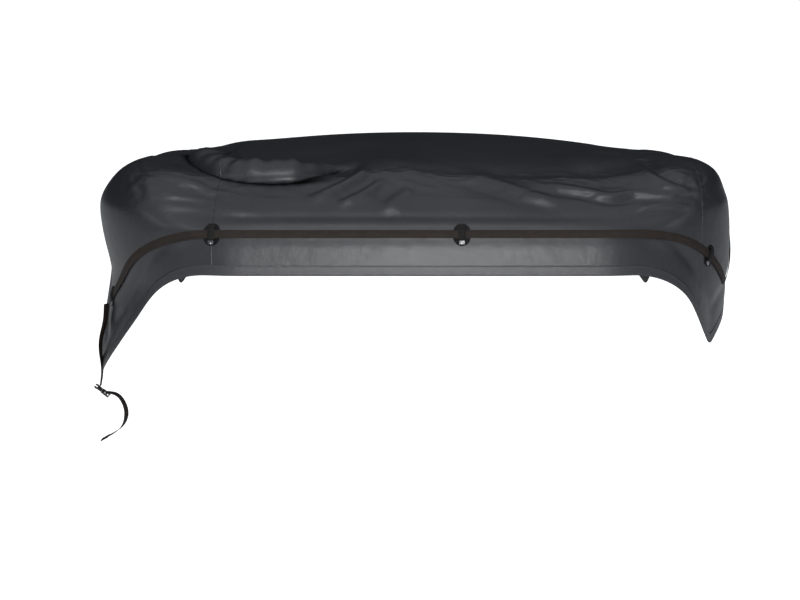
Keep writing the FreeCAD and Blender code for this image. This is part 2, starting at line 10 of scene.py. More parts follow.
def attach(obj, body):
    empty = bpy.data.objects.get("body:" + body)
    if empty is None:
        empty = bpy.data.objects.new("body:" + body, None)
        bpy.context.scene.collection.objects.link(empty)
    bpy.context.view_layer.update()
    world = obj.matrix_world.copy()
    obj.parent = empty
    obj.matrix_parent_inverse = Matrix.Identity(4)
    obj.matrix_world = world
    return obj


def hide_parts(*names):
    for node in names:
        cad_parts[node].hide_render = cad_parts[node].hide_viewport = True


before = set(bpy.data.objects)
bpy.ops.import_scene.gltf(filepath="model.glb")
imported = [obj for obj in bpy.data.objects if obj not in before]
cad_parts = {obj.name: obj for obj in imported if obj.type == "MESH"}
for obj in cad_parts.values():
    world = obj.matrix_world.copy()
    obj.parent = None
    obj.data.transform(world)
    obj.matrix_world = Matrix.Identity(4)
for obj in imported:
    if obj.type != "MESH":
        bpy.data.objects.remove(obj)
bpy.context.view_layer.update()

# Spa cover: a coated-fabric sheet in three panels over an inflatable insert, held by a webbing
# strap in eleven keepers. Metres, in the CAD's frame: X right, Y back, Z up.

# The skirt's outline and its hem, as the CAD has them
SKIRT_HALF = 0.825
CORNER_R = 0.400
FLAT = SKIRT_HALF - CORNER_R
QUARTER = 2 * FLAT + CORNER_R * math.pi / 2
PERIMETER = 4 * QUARTER
DOME_TOP = 0.147
DOME_R = 3.600
DOME_SLACK = 0.012
DOME_SLACK_REACH = 0.38
SEAM_LEFT = -0.498
SEAM_RIGHT = 0.700
HEM_Z = -0.130
HEM_SLOPE = math.radians(57)
HEM_ARC_R = 0.200
FRONT_KNEE = 0.614
SIDE_KNEE = 0.375
HEM_BAND = 0.025
STRAP_INSET = 0.098
STRAP_W = 0.020
STRAP_T = 0.0016
KEEPER_COUNT = 11
FRONT_KEEPERS = (-0.498, 0.095, 0.752)
EXIT_KEEPER = -0.905
STRAP_END_Y = -0.150

# The draped sheet: cells along each side, rows from the dome to the strap, rows to the hem
SIDE_CELLS = 100
SLOPE_ROWS = 42
SKIRT_ROWS = 22
BAND_ROWS = 4
INNER_INSET = 0.27
INNER_SHRINK = 0.94
SKIRT_TOP = -0.035
FABRIC_T = 0.0012
LINING_GAP = 0.0045       # from the sheet down to the pocket's wall
SEAM_LAP = 0.006          # the side panels lap over the centre one
SEAM_STEP = 0.00025
HEM_T = 0.0022
HEM_CENTRED = -0.4
HEM_LAP = 0.006
TAPE_HALF = 0.011
TAPE_T = 0.0007
TAPE_DEPTH = 0.0016
TAPE_HEM_GAP = 0.003

# Panels: (name, low X, high X, CAD node, flat size, flat area)
PANELS = (
    ("left_fabric", -1, SEAM_LEFT + SEAM_LAP, "left_panel", (0.61, 2.04), 0.96),
    ("centre_fabric", SEAM_LEFT, SEAM_RIGHT, "centre_panel", (1.20, 2.02), 2.38),
    ("right_fabric", SEAM_RIGHT - SEAM_LAP, 1, "right_panel", (0.40, 1.75), 0.55),
)

# Free end of the strap, in the plane Y = FREE_Y, as (X, Z) points
FREE_Y = -0.575
HANG_ROUTE = (
    (-0.806, -0.250),
    (-0.808, -0.281),
    (-0.815, -0.312),
    (-0.825, -0.343),
    (-0.828, -0.376),
    (-0.824, -0.409),
    (-0.825, -0.441),
    (-0.831, -0.470),
)
TAIL_ROUTE = (
    (-0.818, -0.487),
    (-0.800, -0.488),
    (-0.784, -0.496),
    (-0.773, -0.512),
    (-0.766, -0.534),
    (-0.767, -0.557),
    (-0.776, -0.578),
    (-0.793, -0.594),
    (-0.815, -0.606),
)
TAIL_FOLD_L = 0.024
HANG_TWIST = ((0, 26), (0.3, 24), (0.6, 6), (1, 0))
TAIL_TWIST = ((0, 0), (0.35, 12), (0.6, 22), (0.85, 8), (1, 0))

# The front corners: the right one's point hangs less far down, the left one's a little further,
# and the strap is higher round the right one. The zones are (where it begins, where it is whole)
RIGHT_TIP_Z = -0.340
RIGHT_TIP_X = 0.753
RIGHT_TIP_RISE = 0.9
LEFT_TIP_DROP = 0.018
LEFT_TIP_FROM = -0.30
LEFT_TIP_RAMP = 0.12
STRAP_RIGHT_LIFT = 0.024
CORNER_ZONE_X = (0.50, 0.78)
CORNER_ZONE_Y = (-0.28, -0.52)

# How far the skirt stands in or out: cinched at the strap, flared below it, and at the front
# corners as (side, metres out, middle height, reach) and (side, metres out, from height, to height)
CINCH = -0.005
CINCH_REACH = 0.022
FLARE = 0.010
FLARE_END = -0.04
CORNER_BULGES = ((-1, 0.010, 0.0, 0.09), (-1, -0.014, -0.18, 0.07), (1, -0.010, 0.045, 0.09))
CORNER_LEANS = ((-1, 0.020, -0.25, -0.42), (1, -0.020, -0.14, -0.34))
OFFSET_FADE_Z = (0.10, 0.03)

# Across the sheet from the dome to the top of the skirt: (inset from the skirt, height)
FRONT_PROFILE = (
    (0.225, 0.105),
    (0.200, 0.104),
    (0.175, 0.094),
    (0.125, 0.062),
    (0.078, 0.032),
    (0.046, 0.009),
    (0.024, -0.008),
    (0.010, -0.019),
    (0.003, -0.026),
)
SIDE_PROFILE = (
    (0.225, 0.103),
    (0.180, 0.101),
    (0.130, 0.098),
    (0.085, 0.093),
    (0.045, 0.080),
    (0.018, 0.052),
    (0.004, 0.022),
    (0.001, 0.005),
    (0.000, -0.015),
)

# Where the front's profile takes over from the sides', as (where it begins, where it is whole)
FRONT_ZONE_X = (0.72, 0.52)
FRONT_ZONE_Y = (-0.62, -0.76)
DOME_BLEND_INSET = 0.10
BACK_DROP = 0.036         # the shoulder is this much lower along the back
BACK_ZONE_Y = (-0.05, 0.55)

# Places where the slack cloth billows up: (x, y, height, reach along x, reach along y)
BILLOWS = (
    (0.60, -0.46, 0.040, 0.16, 0.20),
    (-0.61, -0.44, 0.038, 0.15, 0.20),
    (-0.06, -0.56, 0.014, 0.10, 0.10),
    (0.20, -0.62, -0.008, 0.14, 0.08),
    (-0.51, -0.14, 0.018, 0.10, 0.28),
)
BILLOW_FADE_Z = (0.02, 0.08)

# The rolled fold above the front left: the plan of its lower edge, from left to right, and its
# section as (share of FOLD_REACH uphill, forward shift, upward shift)
FOLD_LINE = (
    (-0.600, -0.350),
    (-0.585, -0.430),
    (-0.550, -0.530),
    (-0.490, -0.615),
    (-0.410, -0.642),
    (-0.310, -0.645),
    (-0.225, -0.625),
    (-0.150, -0.575),
    (-0.080, -0.500),
)
FOLD_REACH = 0.12
FOLD_SECTION = (
    (0.00, 0.000, 0.000),
    (0.10, -0.018, -0.010),
    (0.20, -0.034, -0.020),
    (0.29, 0.060, -0.024),
    (0.40, 0.082, -0.002),
    (0.54, 0.074, 0.038),
    (0.70, 0.040, 0.046),
    (0.86, 0.010, 0.014),
    (1.00, 0.000, 0.000),
)
FOLD_LIMITS = (0.1, -0.2, 0.02)       # it moves cloth left of, in front of and above these
FOLD_START = (0.0, 0.09)              # where it swells and dies away, as shares of its length
FOLD_END = (1.0, 0.64)
FOLD_RISE = (-0.28, 0.34)             # its left end stands less high
FOLD_SIDE_REACH = 0.01                # cloth this far past its two ends still belongs to it
FOLD_SWELL = 0.14                     # its height wavers by these, at these rates along it
FOLD_SWELL_RATES = (23.0, 9.0)
FOLD_RIPPLE = 0.06
FOLD_RIPPLE_RATE = 67.0
PAINTED_SHADE_ACROSS = ((-0.38, -0.24), (0.38, 0.30))     # painted shade over the crease under it, across and along
PAINTED_SHADE_ALONG = ((0.0, 0.05), (0.95, 0.72))

# Wrinkles on the front slope: (height, width, (x, z) points seen from the front)
WRINKLES = (
    (0.0030, 0.013, ((-0.650, 0.105), (-0.540, 0.066), (-0.400, 0.024))),
    (0.0024, 0.012, ((-0.650, 0.060), (-0.540, 0.042), (-0.380, 0.014))),
    (0.0020, 0.013, ((-0.640, 0.030), (-0.500, 0.022), (-0.330, 0.006))),
    (0.013, 0.016, ((-0.110, 0.110), (-0.170, 0.072), (-0.290, 0.028))),
    (0.010, 0.014, ((-0.080, 0.085), (-0.130, 0.050), (-0.215, 0.022))),
    (0.008, 0.022, ((-0.010, 0.070), (-0.045, 0.040), (-0.095, 0.012))),
    (0.009, 0.018, ((0.050, 0.098), (0.150, 0.082), (0.240, 0.056), (0.305, 0.040), (0.380, 0.026))),
    (0.010, 0.012, ((0.225, 0.070), (0.330, 0.066), (0.410, 0.060), (0.475, 0.036), (0.545, 0.062),
                    (0.650, 0.042))),
    (0.007, 0.012, ((0.500, 0.012), (0.590, 0.030), (0.665, 0.022))),
    (-0.009, 0.016, ((0.560, 0.122), (0.620, 0.085), (0.700, 0.064))),
    (0.006, 0.030, ((0.300, 0.085), (0.400, 0.100), (0.500, 0.112))),
    (-0.005, 0.014, ((-0.640, 0.004), (-0.200, 0.006), (0.200, 0.006), (0.620, 0.002))),
)
WRINKLE_RISE = 1.6        # heights on the slope count this much more than widths
WRINKLE_LIMITS = (-0.30, -0.04)       # they press cloth in front of and above these
WRINKLE_FADE_Y = (-0.30, -0.42)
GROOVE_DEPTH = 0.55                   # a groove runs below each, by shares of its height and width
GROOVE_AT = 1.5

# The cloth simulation: its frames, the most it may move the sheet, the slack that it adds, and the
# zones it leaves alone: the dome, the sides (distance from the middle) and the skirt (height)
RELAX_FRAMES = 16
RELAX_CAP = 0.007
RELAX_GROWTH = 0.010
RELAX_UNDERLAY = 0.008
RELAX_CLEARANCE = 0.002
CLOTH_SETTINGS = {
    "quality": 5,
    "mass": 0.15,
    "air_damping": 2.0,
    "tension_stiffness": 25,
    "compression_stiffness": 25,
    "shear_stiffness": 12,
    "bending_stiffness": 0.4,
    "pin_stiffness": 1.0,
    "shrink_min": -RELAX_GROWTH,
}
HELD_DOME = (0.62, 0.50)
HELD_SIDES = (0.70, 0.77)
HELD_SKIRT_Z = (0.075, -0.005)

# Studio: softboxes as (name, place, aim, width, height, watts)
FLOOR_Z = -0.71
FLOOR_HALF = 120
SOFTBOXES = (
    ("front softbox", (0.2, -5.2, 0.2), (0.1, -0.8, -0.1), 1.1, 0.8, 105),
    ("high softbox", (-0.4, -3.0, 2.6), (0, -0.7, 0.0), 2.4, 0.8, 50),
    ("left softbox", (-3.6, -2.6, 1.4), (-0.4, -0.4, 0.0), 1.4, 1.4, 14),
    ("right softbox", (3.8, -2.2, 1.4), (0.4, -0.4, 0.0), 1.4, 1.4, 12),
)
CAMERA_AT = (-0.046, -3.87, 0.43)
CAMERA_PITCH = math.radians(78.5)
CAMERA_LENS = 58.5


# Mesh helpers


def link(obj):
    bpy.context.scene.collection.objects.link(obj)
    return obj


def mesh_object(name, points, faces, material=None):
    mesh = bpy.data.meshes.new(name)
    mesh.from_pydata([tuple(p) for p in points], [], [tuple(f) for f in faces])
    mesh.polygons.foreach_set("use_smooth", [True] * len(mesh.polygons))
    if material:
        mesh.materials.append(material)
    mesh.update()
    return link(bpy.data.objects.new(name, mesh))


def coordinates(mesh):
    flat = np.empty(len(mesh.vertices) * 3)
    mesh.vertices.foreach_get("co", flat)
    return flat.reshape(-1, 3)


def vertex_normals(mesh):
    flat = np.empty(len(mesh.vertices) * 3)
    mesh.vertices.foreach_get("normal", flat)
    return flat.reshape(-1, 3)


def set_coordinates(mesh, points):
    mesh.vertices.foreach_set("co", np.asarray(points).ravel())
    mesh.update()


def ring_faces(first, second):
    """Quads between two rings of vertex numbers."""
    count = len(first)
    following = [(i + 1) % count for i in range(count)]
    return [(first[i], first[j], second[j], second[i]) for i, j in enumerate(following)]


def tube_faces(rings, count, capped=True):
    """Faces over rings of `count` points each, in order, with the two ends closed if `capped`."""
    faces = []
    for ring in range(rings - 1):
        first = list(range(ring * count, (ring + 1) * count))
        faces += ring_faces(first, [v + count for v in first])
    if capped:
        faces.append(tuple(range((rings - 1) * count, rings * count)))
        faces.append(tuple(reversed(range(count))))
    return faces


def add_float(mesh, name, values):
    attribute = mesh.attributes.new(name, "FLOAT", "POINT")
    attribute.data.foreach_set("value", values)


def add_metres(mesh, corners):
    """A UV layer whose units are metres."""
    mesh.uv_layers.new(name="metres").data.foreach_set("uv", np.ravel(corners))


def apply_modifiers(obj):
    """Replaces the object's mesh with its evaluated one, and drops its modifiers."""
    graph = bpy.context.evaluated_depsgraph_get()
    mesh = bpy.data.meshes.new_from_object(obj.evaluated_get(graph))
    obj.modifiers.clear()
    obj.data = mesh


def smoothstep(low, high, value):
    share = np.clip((np.asarray(value, float) - low) / (high - low), 0, 1)
    return share * share * (3 - 2 * share)


def between(ramps, value):
    """1 between a rising and a falling ramp, 0 beyond them."""
    rise, fall = ramps
    return smoothstep(*rise, value) * smoothstep(*fall, value)


def bell(value, centre, width):
    return np.exp(-(((np.asarray(value, float) - centre) / width) ** 2))


def finish_piece(obj, body, slot, *nodes):
    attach(obj, body)
    if nodes:
        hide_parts(*nodes)
    return obj


# The skirt's outline and arches


def outline(distance, half=SKIRT_HALF, radius=CORNER_R):
    """Plan points and outward normals at distances along the skirt, from the front's middle, or
    along another square with rounded corners."""
    flat = half - radius
    quarter = 2 * flat + radius * math.pi / 2
    shifted = np.asarray(distance, float) + flat
    side = np.floor(shifted / quarter)
    rest = shifted - side * quarter
    turn = np.clip((rest - 2 * flat) / radius, 0, None)
    along = np.minimum(rest, 2 * flat) - flat
    x = along + radius * np.sin(turn)
    y = -flat - radius * np.cos(turn)
    normal_x, normal_y = np.sin(turn), -np.cos(turn)
    angle = side * math.pi / 2
    cos, sin = np.cos(angle), np.sin(angle)
    points = np.stack([x * cos - y * sin, x * sin + y * cos], -1)
    normals = np.stack([normal_x * cos - normal_y * sin, normal_x * sin + normal_y * cos], -1)
    return points, normals


def arch_height(inset, knee, across):
    """Height of a hem-parallel arch at a distance `across` from its middle."""
    start = knee - HEM_ARC_R * math.tan(HEM_SLOPE / 2)
    radius = HEM_ARC_R + inset
    past = np.clip(np.abs(across) - start, 0, None)
    bend = radius * math.sin(HEM_SLOPE)
    on_arc = np.sqrt(np.clip(radius ** 2 - np.minimum(past, bend) ** 2, 0, None))
    return HEM_Z - HEM_ARC_R + on_arc - np.clip(past - bend, 0, None) * math.tan(HEM_SLOPE)


def line_height(inset, plan):
    """Height of the line that runs `inset` above the hem, at plan points on the skirt."""
    front = arch_height(inset, FRONT_KNEE, plan[..., 0])
    side = arch_height(inset, SIDE_KNEE, plan[..., 1])
    return np.maximum(front, side)


def dome_height(x, y):
    """The dome, a little slack in the middle."""
    slack = DOME_SLACK * bell(np.hypot(x, y), 0, DOME_SLACK_REACH)
    return DOME_TOP - (x * x + y * y) / (2 * DOME_R) - slack


# The draped sheet


def front_share(x, y):
    """1 along the front, 0 along the sides and back."""
    return smoothstep(*FRONT_ZONE_Y, y) * smoothstep(*FRONT_ZONE_X, np.abs(x))


def corner_share(x, y, sign):
    """1 at the front corner on the side `sign` of X, fading along both sides."""
    return smoothstep(*CORNER_ZONE_X, sign * x) * smoothstep(*CORNER_ZONE_Y, y)


def hem_line(plan):
    """The hem's height, with the two front corners' points where the cloth really hangs."""
    height = line_height(0.0, plan)
    x, y = plan[..., 0], plan[..., 1]
    right = corner_share(x, y, 1)
    shortest = RIGHT_TIP_Z + RIGHT_TIP_RISE * np.clip(x - RIGHT_TIP_X, 0, None)
    height = height + right * (np.maximum(height, shortest) - height)
    left = corner_share(x, y, -1)
    depth = np.clip((LEFT_TIP_FROM - height) / LEFT_TIP_RAMP, 0, 1)
    return height - LEFT_TIP_DROP * left * depth


def skirt_offset(plan, height, above_hem):
    """How far the skirt stands in or out from the CAD's face: cinched at the strap, flared below."""
    share = {sign: corner_share(plan[..., 0], plan[..., 1], sign) for sign in (-1, 1)}
    offset = CINCH * bell(above_hem, STRAP_INSET, CINCH_REACH)
    offset = offset + FLARE * smoothstep(STRAP_INSET, FLARE_END, above_hem)
    for side, out, middle, reach in CORNER_BULGES:
        offset = offset + share[side] * out * bell(height, middle, reach)
    for side, out, upper, lower in CORNER_LEANS:
        offset = offset + share[side] * out * smoothstep(upper, lower, height)
    return offset * smoothstep(*OFFSET_FADE_Z, height)


def spline_rows(count, rows):
    """Weights of a clamped cubic B-spline's control points, at evenly spaced rows."""
    knots = np.concatenate([np.zeros(3), np.linspace(0, 1, count - 2), np.ones(3)])
    at = np.linspace(0, 1, rows) * (1 - 1e-9)
    weights = ((knots[:-1] <= at[:, None]) & (at[:, None] < knots[1:])).astype(float)
    for degree in range(1, 4):
        raised = np.zeros((rows, weights.shape[1] - 1))
        for i in range(raised.shape[1]):
            rise = knots[i + degree] - knots[i]
            fall = knots[i + degree + 1] - knots[i + 1]
            if rise > 0:
                raised[:, i] += (at - knots[i]) / rise * weights[:, i]
            if fall > 0:
                raised[:, i] += (knots[i + degree + 1] - at) / fall * weights[:, i + 1]
        weights = raised
    return weights


def lift(x, y):
    """The billows' height at plan points."""
    total = np.zeros(np.shape(x))
    for at_x, at_y, height, reach_x, reach_y in BILLOWS:
        total = total + height * bell(x, at_x, reach_x) * bell(y, at_y, reach_y)
    return total


def slope_rows(stations):
    """Points from the dome down to the top of the skirt, one column for each station."""
    plan, normal = outline(stations)
    front = front_share(plan[:, 0], plan[:, 1])[:, None]
    inner = plan - normal * INNER_INSET
    inner_z = dome_height(inner[:, 0], inner[:, 1])
    controls = []
    for (front_in, front_z), (side_in, side_z) in zip(FRONT_PROFILE, SIDE_PROFILE):
        inset = front * front_in + (1 - front) * side_in
        height = front * front_z + (1 - front) * side_z
        dome = plan - normal * inset
        on_dome = dome_height(dome[:, 0], dome[:, 1])[:, None]
        height = height - BACK_DROP * smoothstep(*BACK_ZONE_Y, dome[:, 1])[:, None]
        share = smoothstep(INNER_INSET, DOME_BLEND_INSET, inset)
        height = height * share + np.minimum(on_dome, height) * (1 - share)
        controls.append(np.hstack([inset, height]))
    first = np.stack([np.full(len(stations), INNER_INSET), inner_z], -1)
    last = np.stack([np.zeros(len(stations)), np.full(len(stations), SKIRT_TOP)], -1)
    table = np.stack([first] + controls + [last], 1)
    curve = np.einsum("rk,skc->rsc", spline_rows(table.shape[1], SLOPE_ROWS + 1), table)
    points = plan[None] - normal[None] * curve[..., :1]
    return np.concatenate([points, curve[..., 1:]], -1), plan, normal


def skirt_rows(plan, normal):
    """Points from the top of the skirt down to the hem, and their heights above the hem."""
    hem = hem_line(plan)
    upper = np.linspace(0, 1, SKIRT_ROWS - BAND_ROWS + 1)[1:, None]
    lower = np.linspace(0, 1, BAND_ROWS + 1)[1:, None]
    band_top = hem + HEM_BAND
    heights = np.vstack([
        SKIRT_TOP + (band_top - SKIRT_TOP)[None] * upper,
        band_top[None] + (hem - band_top)[None] * lower,
    ])
    points = np.repeat(plan[None], len(heights), 0)
    return np.concatenate([points, heights[..., None]], -1), hem


def inner_grid(boundary):
    """Square grid of points over the dome whose edge is the first row of the slope."""
    n = SIDE_CELLS
    steps = np.linspace(-1, 1, n + 1)
    a, b = np.meshgrid(steps, steps, indexing="ij")
    size = np.maximum(np.abs(a), np.abs(b))
    safe = np.where(size > 0, size, 1)
    unit_a, unit_b = a / safe, b / safe
    column = perimeter_column(unit_a, unit_b)
    low = np.floor(column).astype(int) % (4 * n)
    share = (column - np.floor(column))[..., None]
    rim = boundary[low, :2] * (1 - share) + boundary[(low + 1) % (4 * n), :2] * share
    square = np.stack([unit_a, unit_b], -1) * (SKIRT_HALF - INNER_INSET) * INNER_SHRINK
    blend = (size ** 3)[..., None]
    plan = size[..., None] * (square * (1 - blend) + rim * blend)
    height = dome_height(plan[..., 0], plan[..., 1])
    return np.concatenate([plan, height[..., None]], -1)


def perimeter_column(a, b):
    """Column number, front left corner first, of points on the edge of the unit square."""
    n = SIDE_CELLS
    front = (a + 1) / 2
    right = 1 + (b + 1) / 2
    back = 2 + (1 - a) / 2
    left = 3 + (1 - b) / 2
    is_front = b <= -1 + 1e-9
    is_right = a >= 1 - 1e-9
    is_back = b >= 1 - 1e-9
    return n * np.select([is_front, is_right, is_back], [front, right, back], left)


def sheet_mesh():
    """The whole draped sheet as one structured mesh, before it is cut into panels."""
    n = SIDE_CELLS
    stations = -QUARTER / 2 + np.arange(4 * n) * QUARTER / n
    slope, plan, normal = slope_rows(stations)
    skirt, hem = skirt_rows(plan, normal)
    rings = np.concatenate([slope, skirt], 0)
    above = rings[..., 2] - hem[None]
    offset = skirt_offset(rings[..., :2], rings[..., 2], above)
    rings[..., :2] += normal[None] * offset[..., None]
    grid = inner_grid(rings[0])
    rings[..., 2] += lift(rings[..., 0], rings[..., 1]) * smoothstep(*BILLOW_FADE_Z, rings[..., 2])
    grid[..., 2] += lift(grid[..., 0], grid[..., 1])
    number = np.arange((n + 1) ** 2).reshape(n + 1, n + 1)
    edge = [number[i, 0] for i in range(n)]
    edge += [number[n, j] for j in range(n)]
    edge += [number[n - i, n] for i in range(n)]
    edge += [number[0, n - j] for j in range(n)]
    faces = [
        (number[i, j], number[i + 1, j], number[i + 1, j + 1], number[i, j + 1])
        for i in range(n)
        for j in range(n)
    ]
    corners = [(grid_x, 2 + grid_y) for grid_x, grid_y in grid.reshape(-1, 3)[np.ravel(faces), :2]]
    rows = [edge]
    start = (n + 1) ** 2
    for row in range(1, len(rings)):
        rows.append([start + (row - 1) * 4 * n + c for c in range(4 * n)])
    pitch = QUARTER / n
    for row, (upper, lower) in enumerate(zip(rows, rows[1:])):
        faces += [(b, a, d, c) for a, b, c, d in ring_faces(upper, lower)]
        for c in range(4 * n):
            after = (c + 1) % (4 * n)
            corners.append(((c + 1) * pitch, above[row, after]))
            corners.append((c * pitch, above[row, c]))
            corners.append((c * pitch, above[row + 1, c]))
            corners.append(((c + 1) * pitch, above[row + 1, after]))
    points = np.vstack([grid.reshape(-1, 3), rings[1:].reshape(-1, 3)])
    above_hem = np.concatenate([np.full((n + 1) ** 2, 1.0), above[1:].ravel()])
    obj = mesh_object("sheet", points, faces)
    add_float(obj.data, "above_hem", above_hem)
    add_metres(obj.data, corners)
    return obj


def curve_points(controls, count):
    """Points along a clamped cubic B-spline."""
    return spline_rows(len(controls), count) @ np.asarray(controls, float)


def nearest_on(line, points):
    """For each point: number of the nearest point of the line, and the vector from it."""
    best = np.full(len(points), np.inf)
    number = np.zeros(len(points), int)
    for i, spot in enumerate(line):
        distance = ((points - spot) ** 2).sum(1)
        closer = distance < best
        best[closer] = distance[closer]
        number[closer] = i
    return number, points - line[number]


def roll_fold(points):
    """Lays the cloth above FOLD_LINE forward over the slope, as a soft roll with an undercut.

    Also returns the painted shade of each point in the crevice under the roll, from 0 to 1."""
    line = curve_points(FOLD_LINE, 160)
    tangent = np.gradient(line, axis=0)
    tangent /= np.linalg.norm(tangent, axis=1)[:, None]
    downhill = np.stack([tangent[:, 1], -tangent[:, 0]], -1)
    section = curve_points(FOLD_SECTION, 120)
    right, back, low = FOLD_LIMITS
    near = np.flatnonzero((points[:, 0] < right) & (points[:, 1] < back) & (points[:, 2] > low))
    number, away = nearest_on(line, points[near, :2])
    uphill = -(away * downhill[number]).sum(1) / FOLD_REACH
    sideways = np.abs((away * tangent[number]).sum(1))
    along = number / (len(line) - 1)
    beside = sideways < FOLD_SIDE_REACH
    # painted shade: how dark the crease under the roll is painted, in colour and in reflections
    painted_crevice_shade = np.zeros(len(points))
    painted_crevice_shade[near] = beside * between(PAINTED_SHADE_ACROSS, uphill) * between(PAINTED_SHADE_ALONG, along)
    fullness = between((FOLD_START, FOLD_END), along)
    fullness = fullness * beside * ((uphill > 0) & (uphill < 1))
    forward = np.interp(uphill, section[:, 0], section[:, 1]) * fullness
    up = np.interp(uphill, section[:, 0], section[:, 2]) * fullness
    quick, slow = FOLD_SWELL_RATES
    uneven = 1 + FOLD_SWELL * np.sin(along * quick) * np.sin(along * slow + 1.0)
    uneven = uneven + FOLD_RIPPLE * np.sin(along * FOLD_RIPPLE_RATE)
    uneven = uneven * smoothstep(*FOLD_RISE, along)
    points[near, :2] += downhill[number] * forward[:, None]
    points[near, 2] += up * uneven
    return points, painted_crevice_shade


def press_wrinkles(points, normals):
    """Raises each wrinkle of the front slope along the surface's normals."""
    back, low = WRINKLE_LIMITS
    near = np.flatnonzero((points[:, 1] < back) & (points[:, 2] > low))
    view = points[near][:, [0, 2]] * (1, WRINKLE_RISE)
    total = np.zeros(len(near))
    for height, width, route in WRINKLES:
        line = curve_points(route if len(route) > 3 else with_middles(route), 60) * (1, WRINKLE_RISE)
        number, away = nearest_on(line, view)
        tangent = np.gradient(line, axis=0)[number]
        tangent /= np.linalg.norm(tangent, axis=1)[:, None]
        below = away[:, 0] * tangent[:, 1] - away[:, 1] * tangent[:, 0]
        distance = np.hypot(away[:, 0], away[:, 1])
        below = distance * np.sign(below)
        along = number / (len(line) - 1)
        fade = between(((0, 0.25), (1, 0.75)), along)
        ridge = bell(distance, 0, width) - GROOVE_DEPTH * bell(below, GROOVE_AT * width, width)
        total += height * ridge * fade
    total = total * smoothstep(*WRINKLE_FADE_Y, points[near, 1])
    points[near] += normals[near] * total[:, None]
    return points


def with_middles(route):
    """A short route with a point added half-way along each run, enough for a cubic spline."""
    route = np.asarray(route, float)
    full = np.empty((2 * len(route) - 1, 2))
    full[0::2] = route
    full[1::2] = (route[:-1] + route[1:]) / 2
    return full


def relax(obj):
    """Slackens the cloth between dome and strap and lets it settle under gravity."""
    start = coordinates(obj.data).copy()
    normals = vertex_normals(obj.data)
    x, y, z = start.T
    faces = [p.vertices for p in obj.data.polygons]
    under = mesh_object("under", start - normals * RELAX_UNDERLAY, faces)
    under.modifiers.new("collision", "COLLISION")
    under.collision.thickness_outer = RELAX_CLEARANCE
    under.collision.cloth_friction = 10
    half = np.maximum(np.abs(x), np.abs(y))
    zones = [smoothstep(*HELD_DOME, half), smoothstep(*HELD_SIDES, half), smoothstep(*HELD_SKIRT_Z, z)]
    held = np.maximum.reduce(zones)
    group = obj.vertex_groups.new(name="held")
    for index, weight in enumerate(held):
        group.add([index], float(weight), "REPLACE")
    cloth = obj.modifiers.new("cloth", "CLOTH")
    for setting, value in CLOTH_SETTINGS.items():
        setattr(cloth.settings, setting, value)
    cloth.settings.vertex_group_mass = group.name
    cloth.collision_settings.distance_min = RELAX_CLEARANCE
    cloth.collision_settings.use_self_collision = False
    cloth.point_cache.frame_start = 1
    cloth.point_cache.frame_end = RELAX_FRAMES
    for number in range(1, RELAX_FRAMES + 1):
        bpy.context.scene.frame_set(number)
    graph = bpy.context.evaluated_depsgraph_get()
    settled = coordinates(obj.evaluated_get(graph).data).copy()
    obj.modifiers.clear()
    obj.vertex_groups.clear()
    bpy.data.objects.remove(under)
    bpy.context.scene.frame_set(1)
    move = settled - start
    length = np.linalg.norm(move, axis=1)
    cap = np.minimum(1, RELAX_CAP / np.maximum(length, 1e-9))
    set_coordinates(obj.data, start + move * cap[:, None] * (1 - held)[:, None])


def subdivide(obj):
    refine = obj.modifiers.new("refine", "SUBSURF")
    refine.levels = 1
    refine.render_levels = 1
    apply_modifiers(obj)


def draped_sheet():
    obj = sheet_mesh()
    relax(obj)
    subdivide(obj)
    points = press_wrinkles(coordinates(obj.data), vertex_normals(obj.data))
    points, painted_crevice_shade = roll_fold(points)
    set_coordinates(obj.data, points)
    # painted shade for the crease under the rolled fold, read by the cover's material
    add_float(obj.data, "painted_crevice_shade", painted_crevice_shade)
    return obj


# Materials


def new_material(name):
    material = bpy.data.materials.new(name)
    material.use_nodes = True
    return material, material.node_tree, place(material.node_tree)


def finish_material(material, colour, roughness, normal, **fixed):
    """Links the shader's three varying inputs, and sets or links the others that are named."""
    shader = material.node_tree.nodes["Principled BSDF"]
    inputs = {"Base Color": colour, "Roughness": roughness, "Normal": normal}
    inputs.update({key.replace("_", " "): value for key, value in fixed.items()})
    for key, value in inputs.items():
        if isinstance(value, bpy.types.NodeSocket):
            material.node_tree.links.new(value, shader.inputs[key])
        else:
            shader.inputs[key].default_value = value
    return material


def add(tree, kind, settings=None, **sockets):
    """Adds a node, sets its properties, and sets or links its inputs by name or number."""
    made = tree.nodes.new("ShaderNode" + kind)
    for key, value in (settings or {}).items():
        setattr(made, key, value)
    for key, value in sockets.items():
        socket = made.inputs[int(key[1:])] if key[0] == "i" and key[1:].isdigit() else made.inputs[key]
        if isinstance(value, bpy.types.NodeSocket):
            tree.links.new(value, socket)
        else:
            socket.default_value = value
    return made


def ramp(tree, value, low, high, low_at=0.35, high_at=0.65):
    """Colour that runs from `low` to `high` as `value` does from low_at to high_at."""
    made = add(tree, "ValToRGB", Fac=value)
    first, last = made.color_ramp.elements
    first.position, first.color = low_at, (*low, 1)
    last.position, last.color = high_at, (*high, 1)
    return made.outputs["Color"]


def spread(tree, value, low, high, low_at=0.0, high_at=1.0):
    """Number that runs from `low` to `high` as `value` does from low_at to high_at."""
    limits = {"From Min": low_at, "From Max": high_at, "To Min": low, "To Max": high}
    return add(tree, "MapRange", Value=value, **limits).outputs["Result"]


def noise(tree, where, scale, detail=4.0, rough=0.55):
    made = add(tree, "TexNoise", Vector=where, Scale=scale, Detail=detail, Roughness=rough)
    return made.outputs["Fac"]


def bump(tree, height, distance, strength=1.0, under=None):
    made = add(tree, "Bump", Height=height, Distance=distance, Strength=strength)
    if under:
        tree.links.new(under, made.inputs["Normal"])
    return made.outputs["Normal"]


def maths(tree, operation, first, second=0.0):
    return add(tree, "Math", {"operation": operation}, i0=first, i1=second).outputs[0]


def place(tree):
    return add(tree, "TexCoord").outputs["Object"]


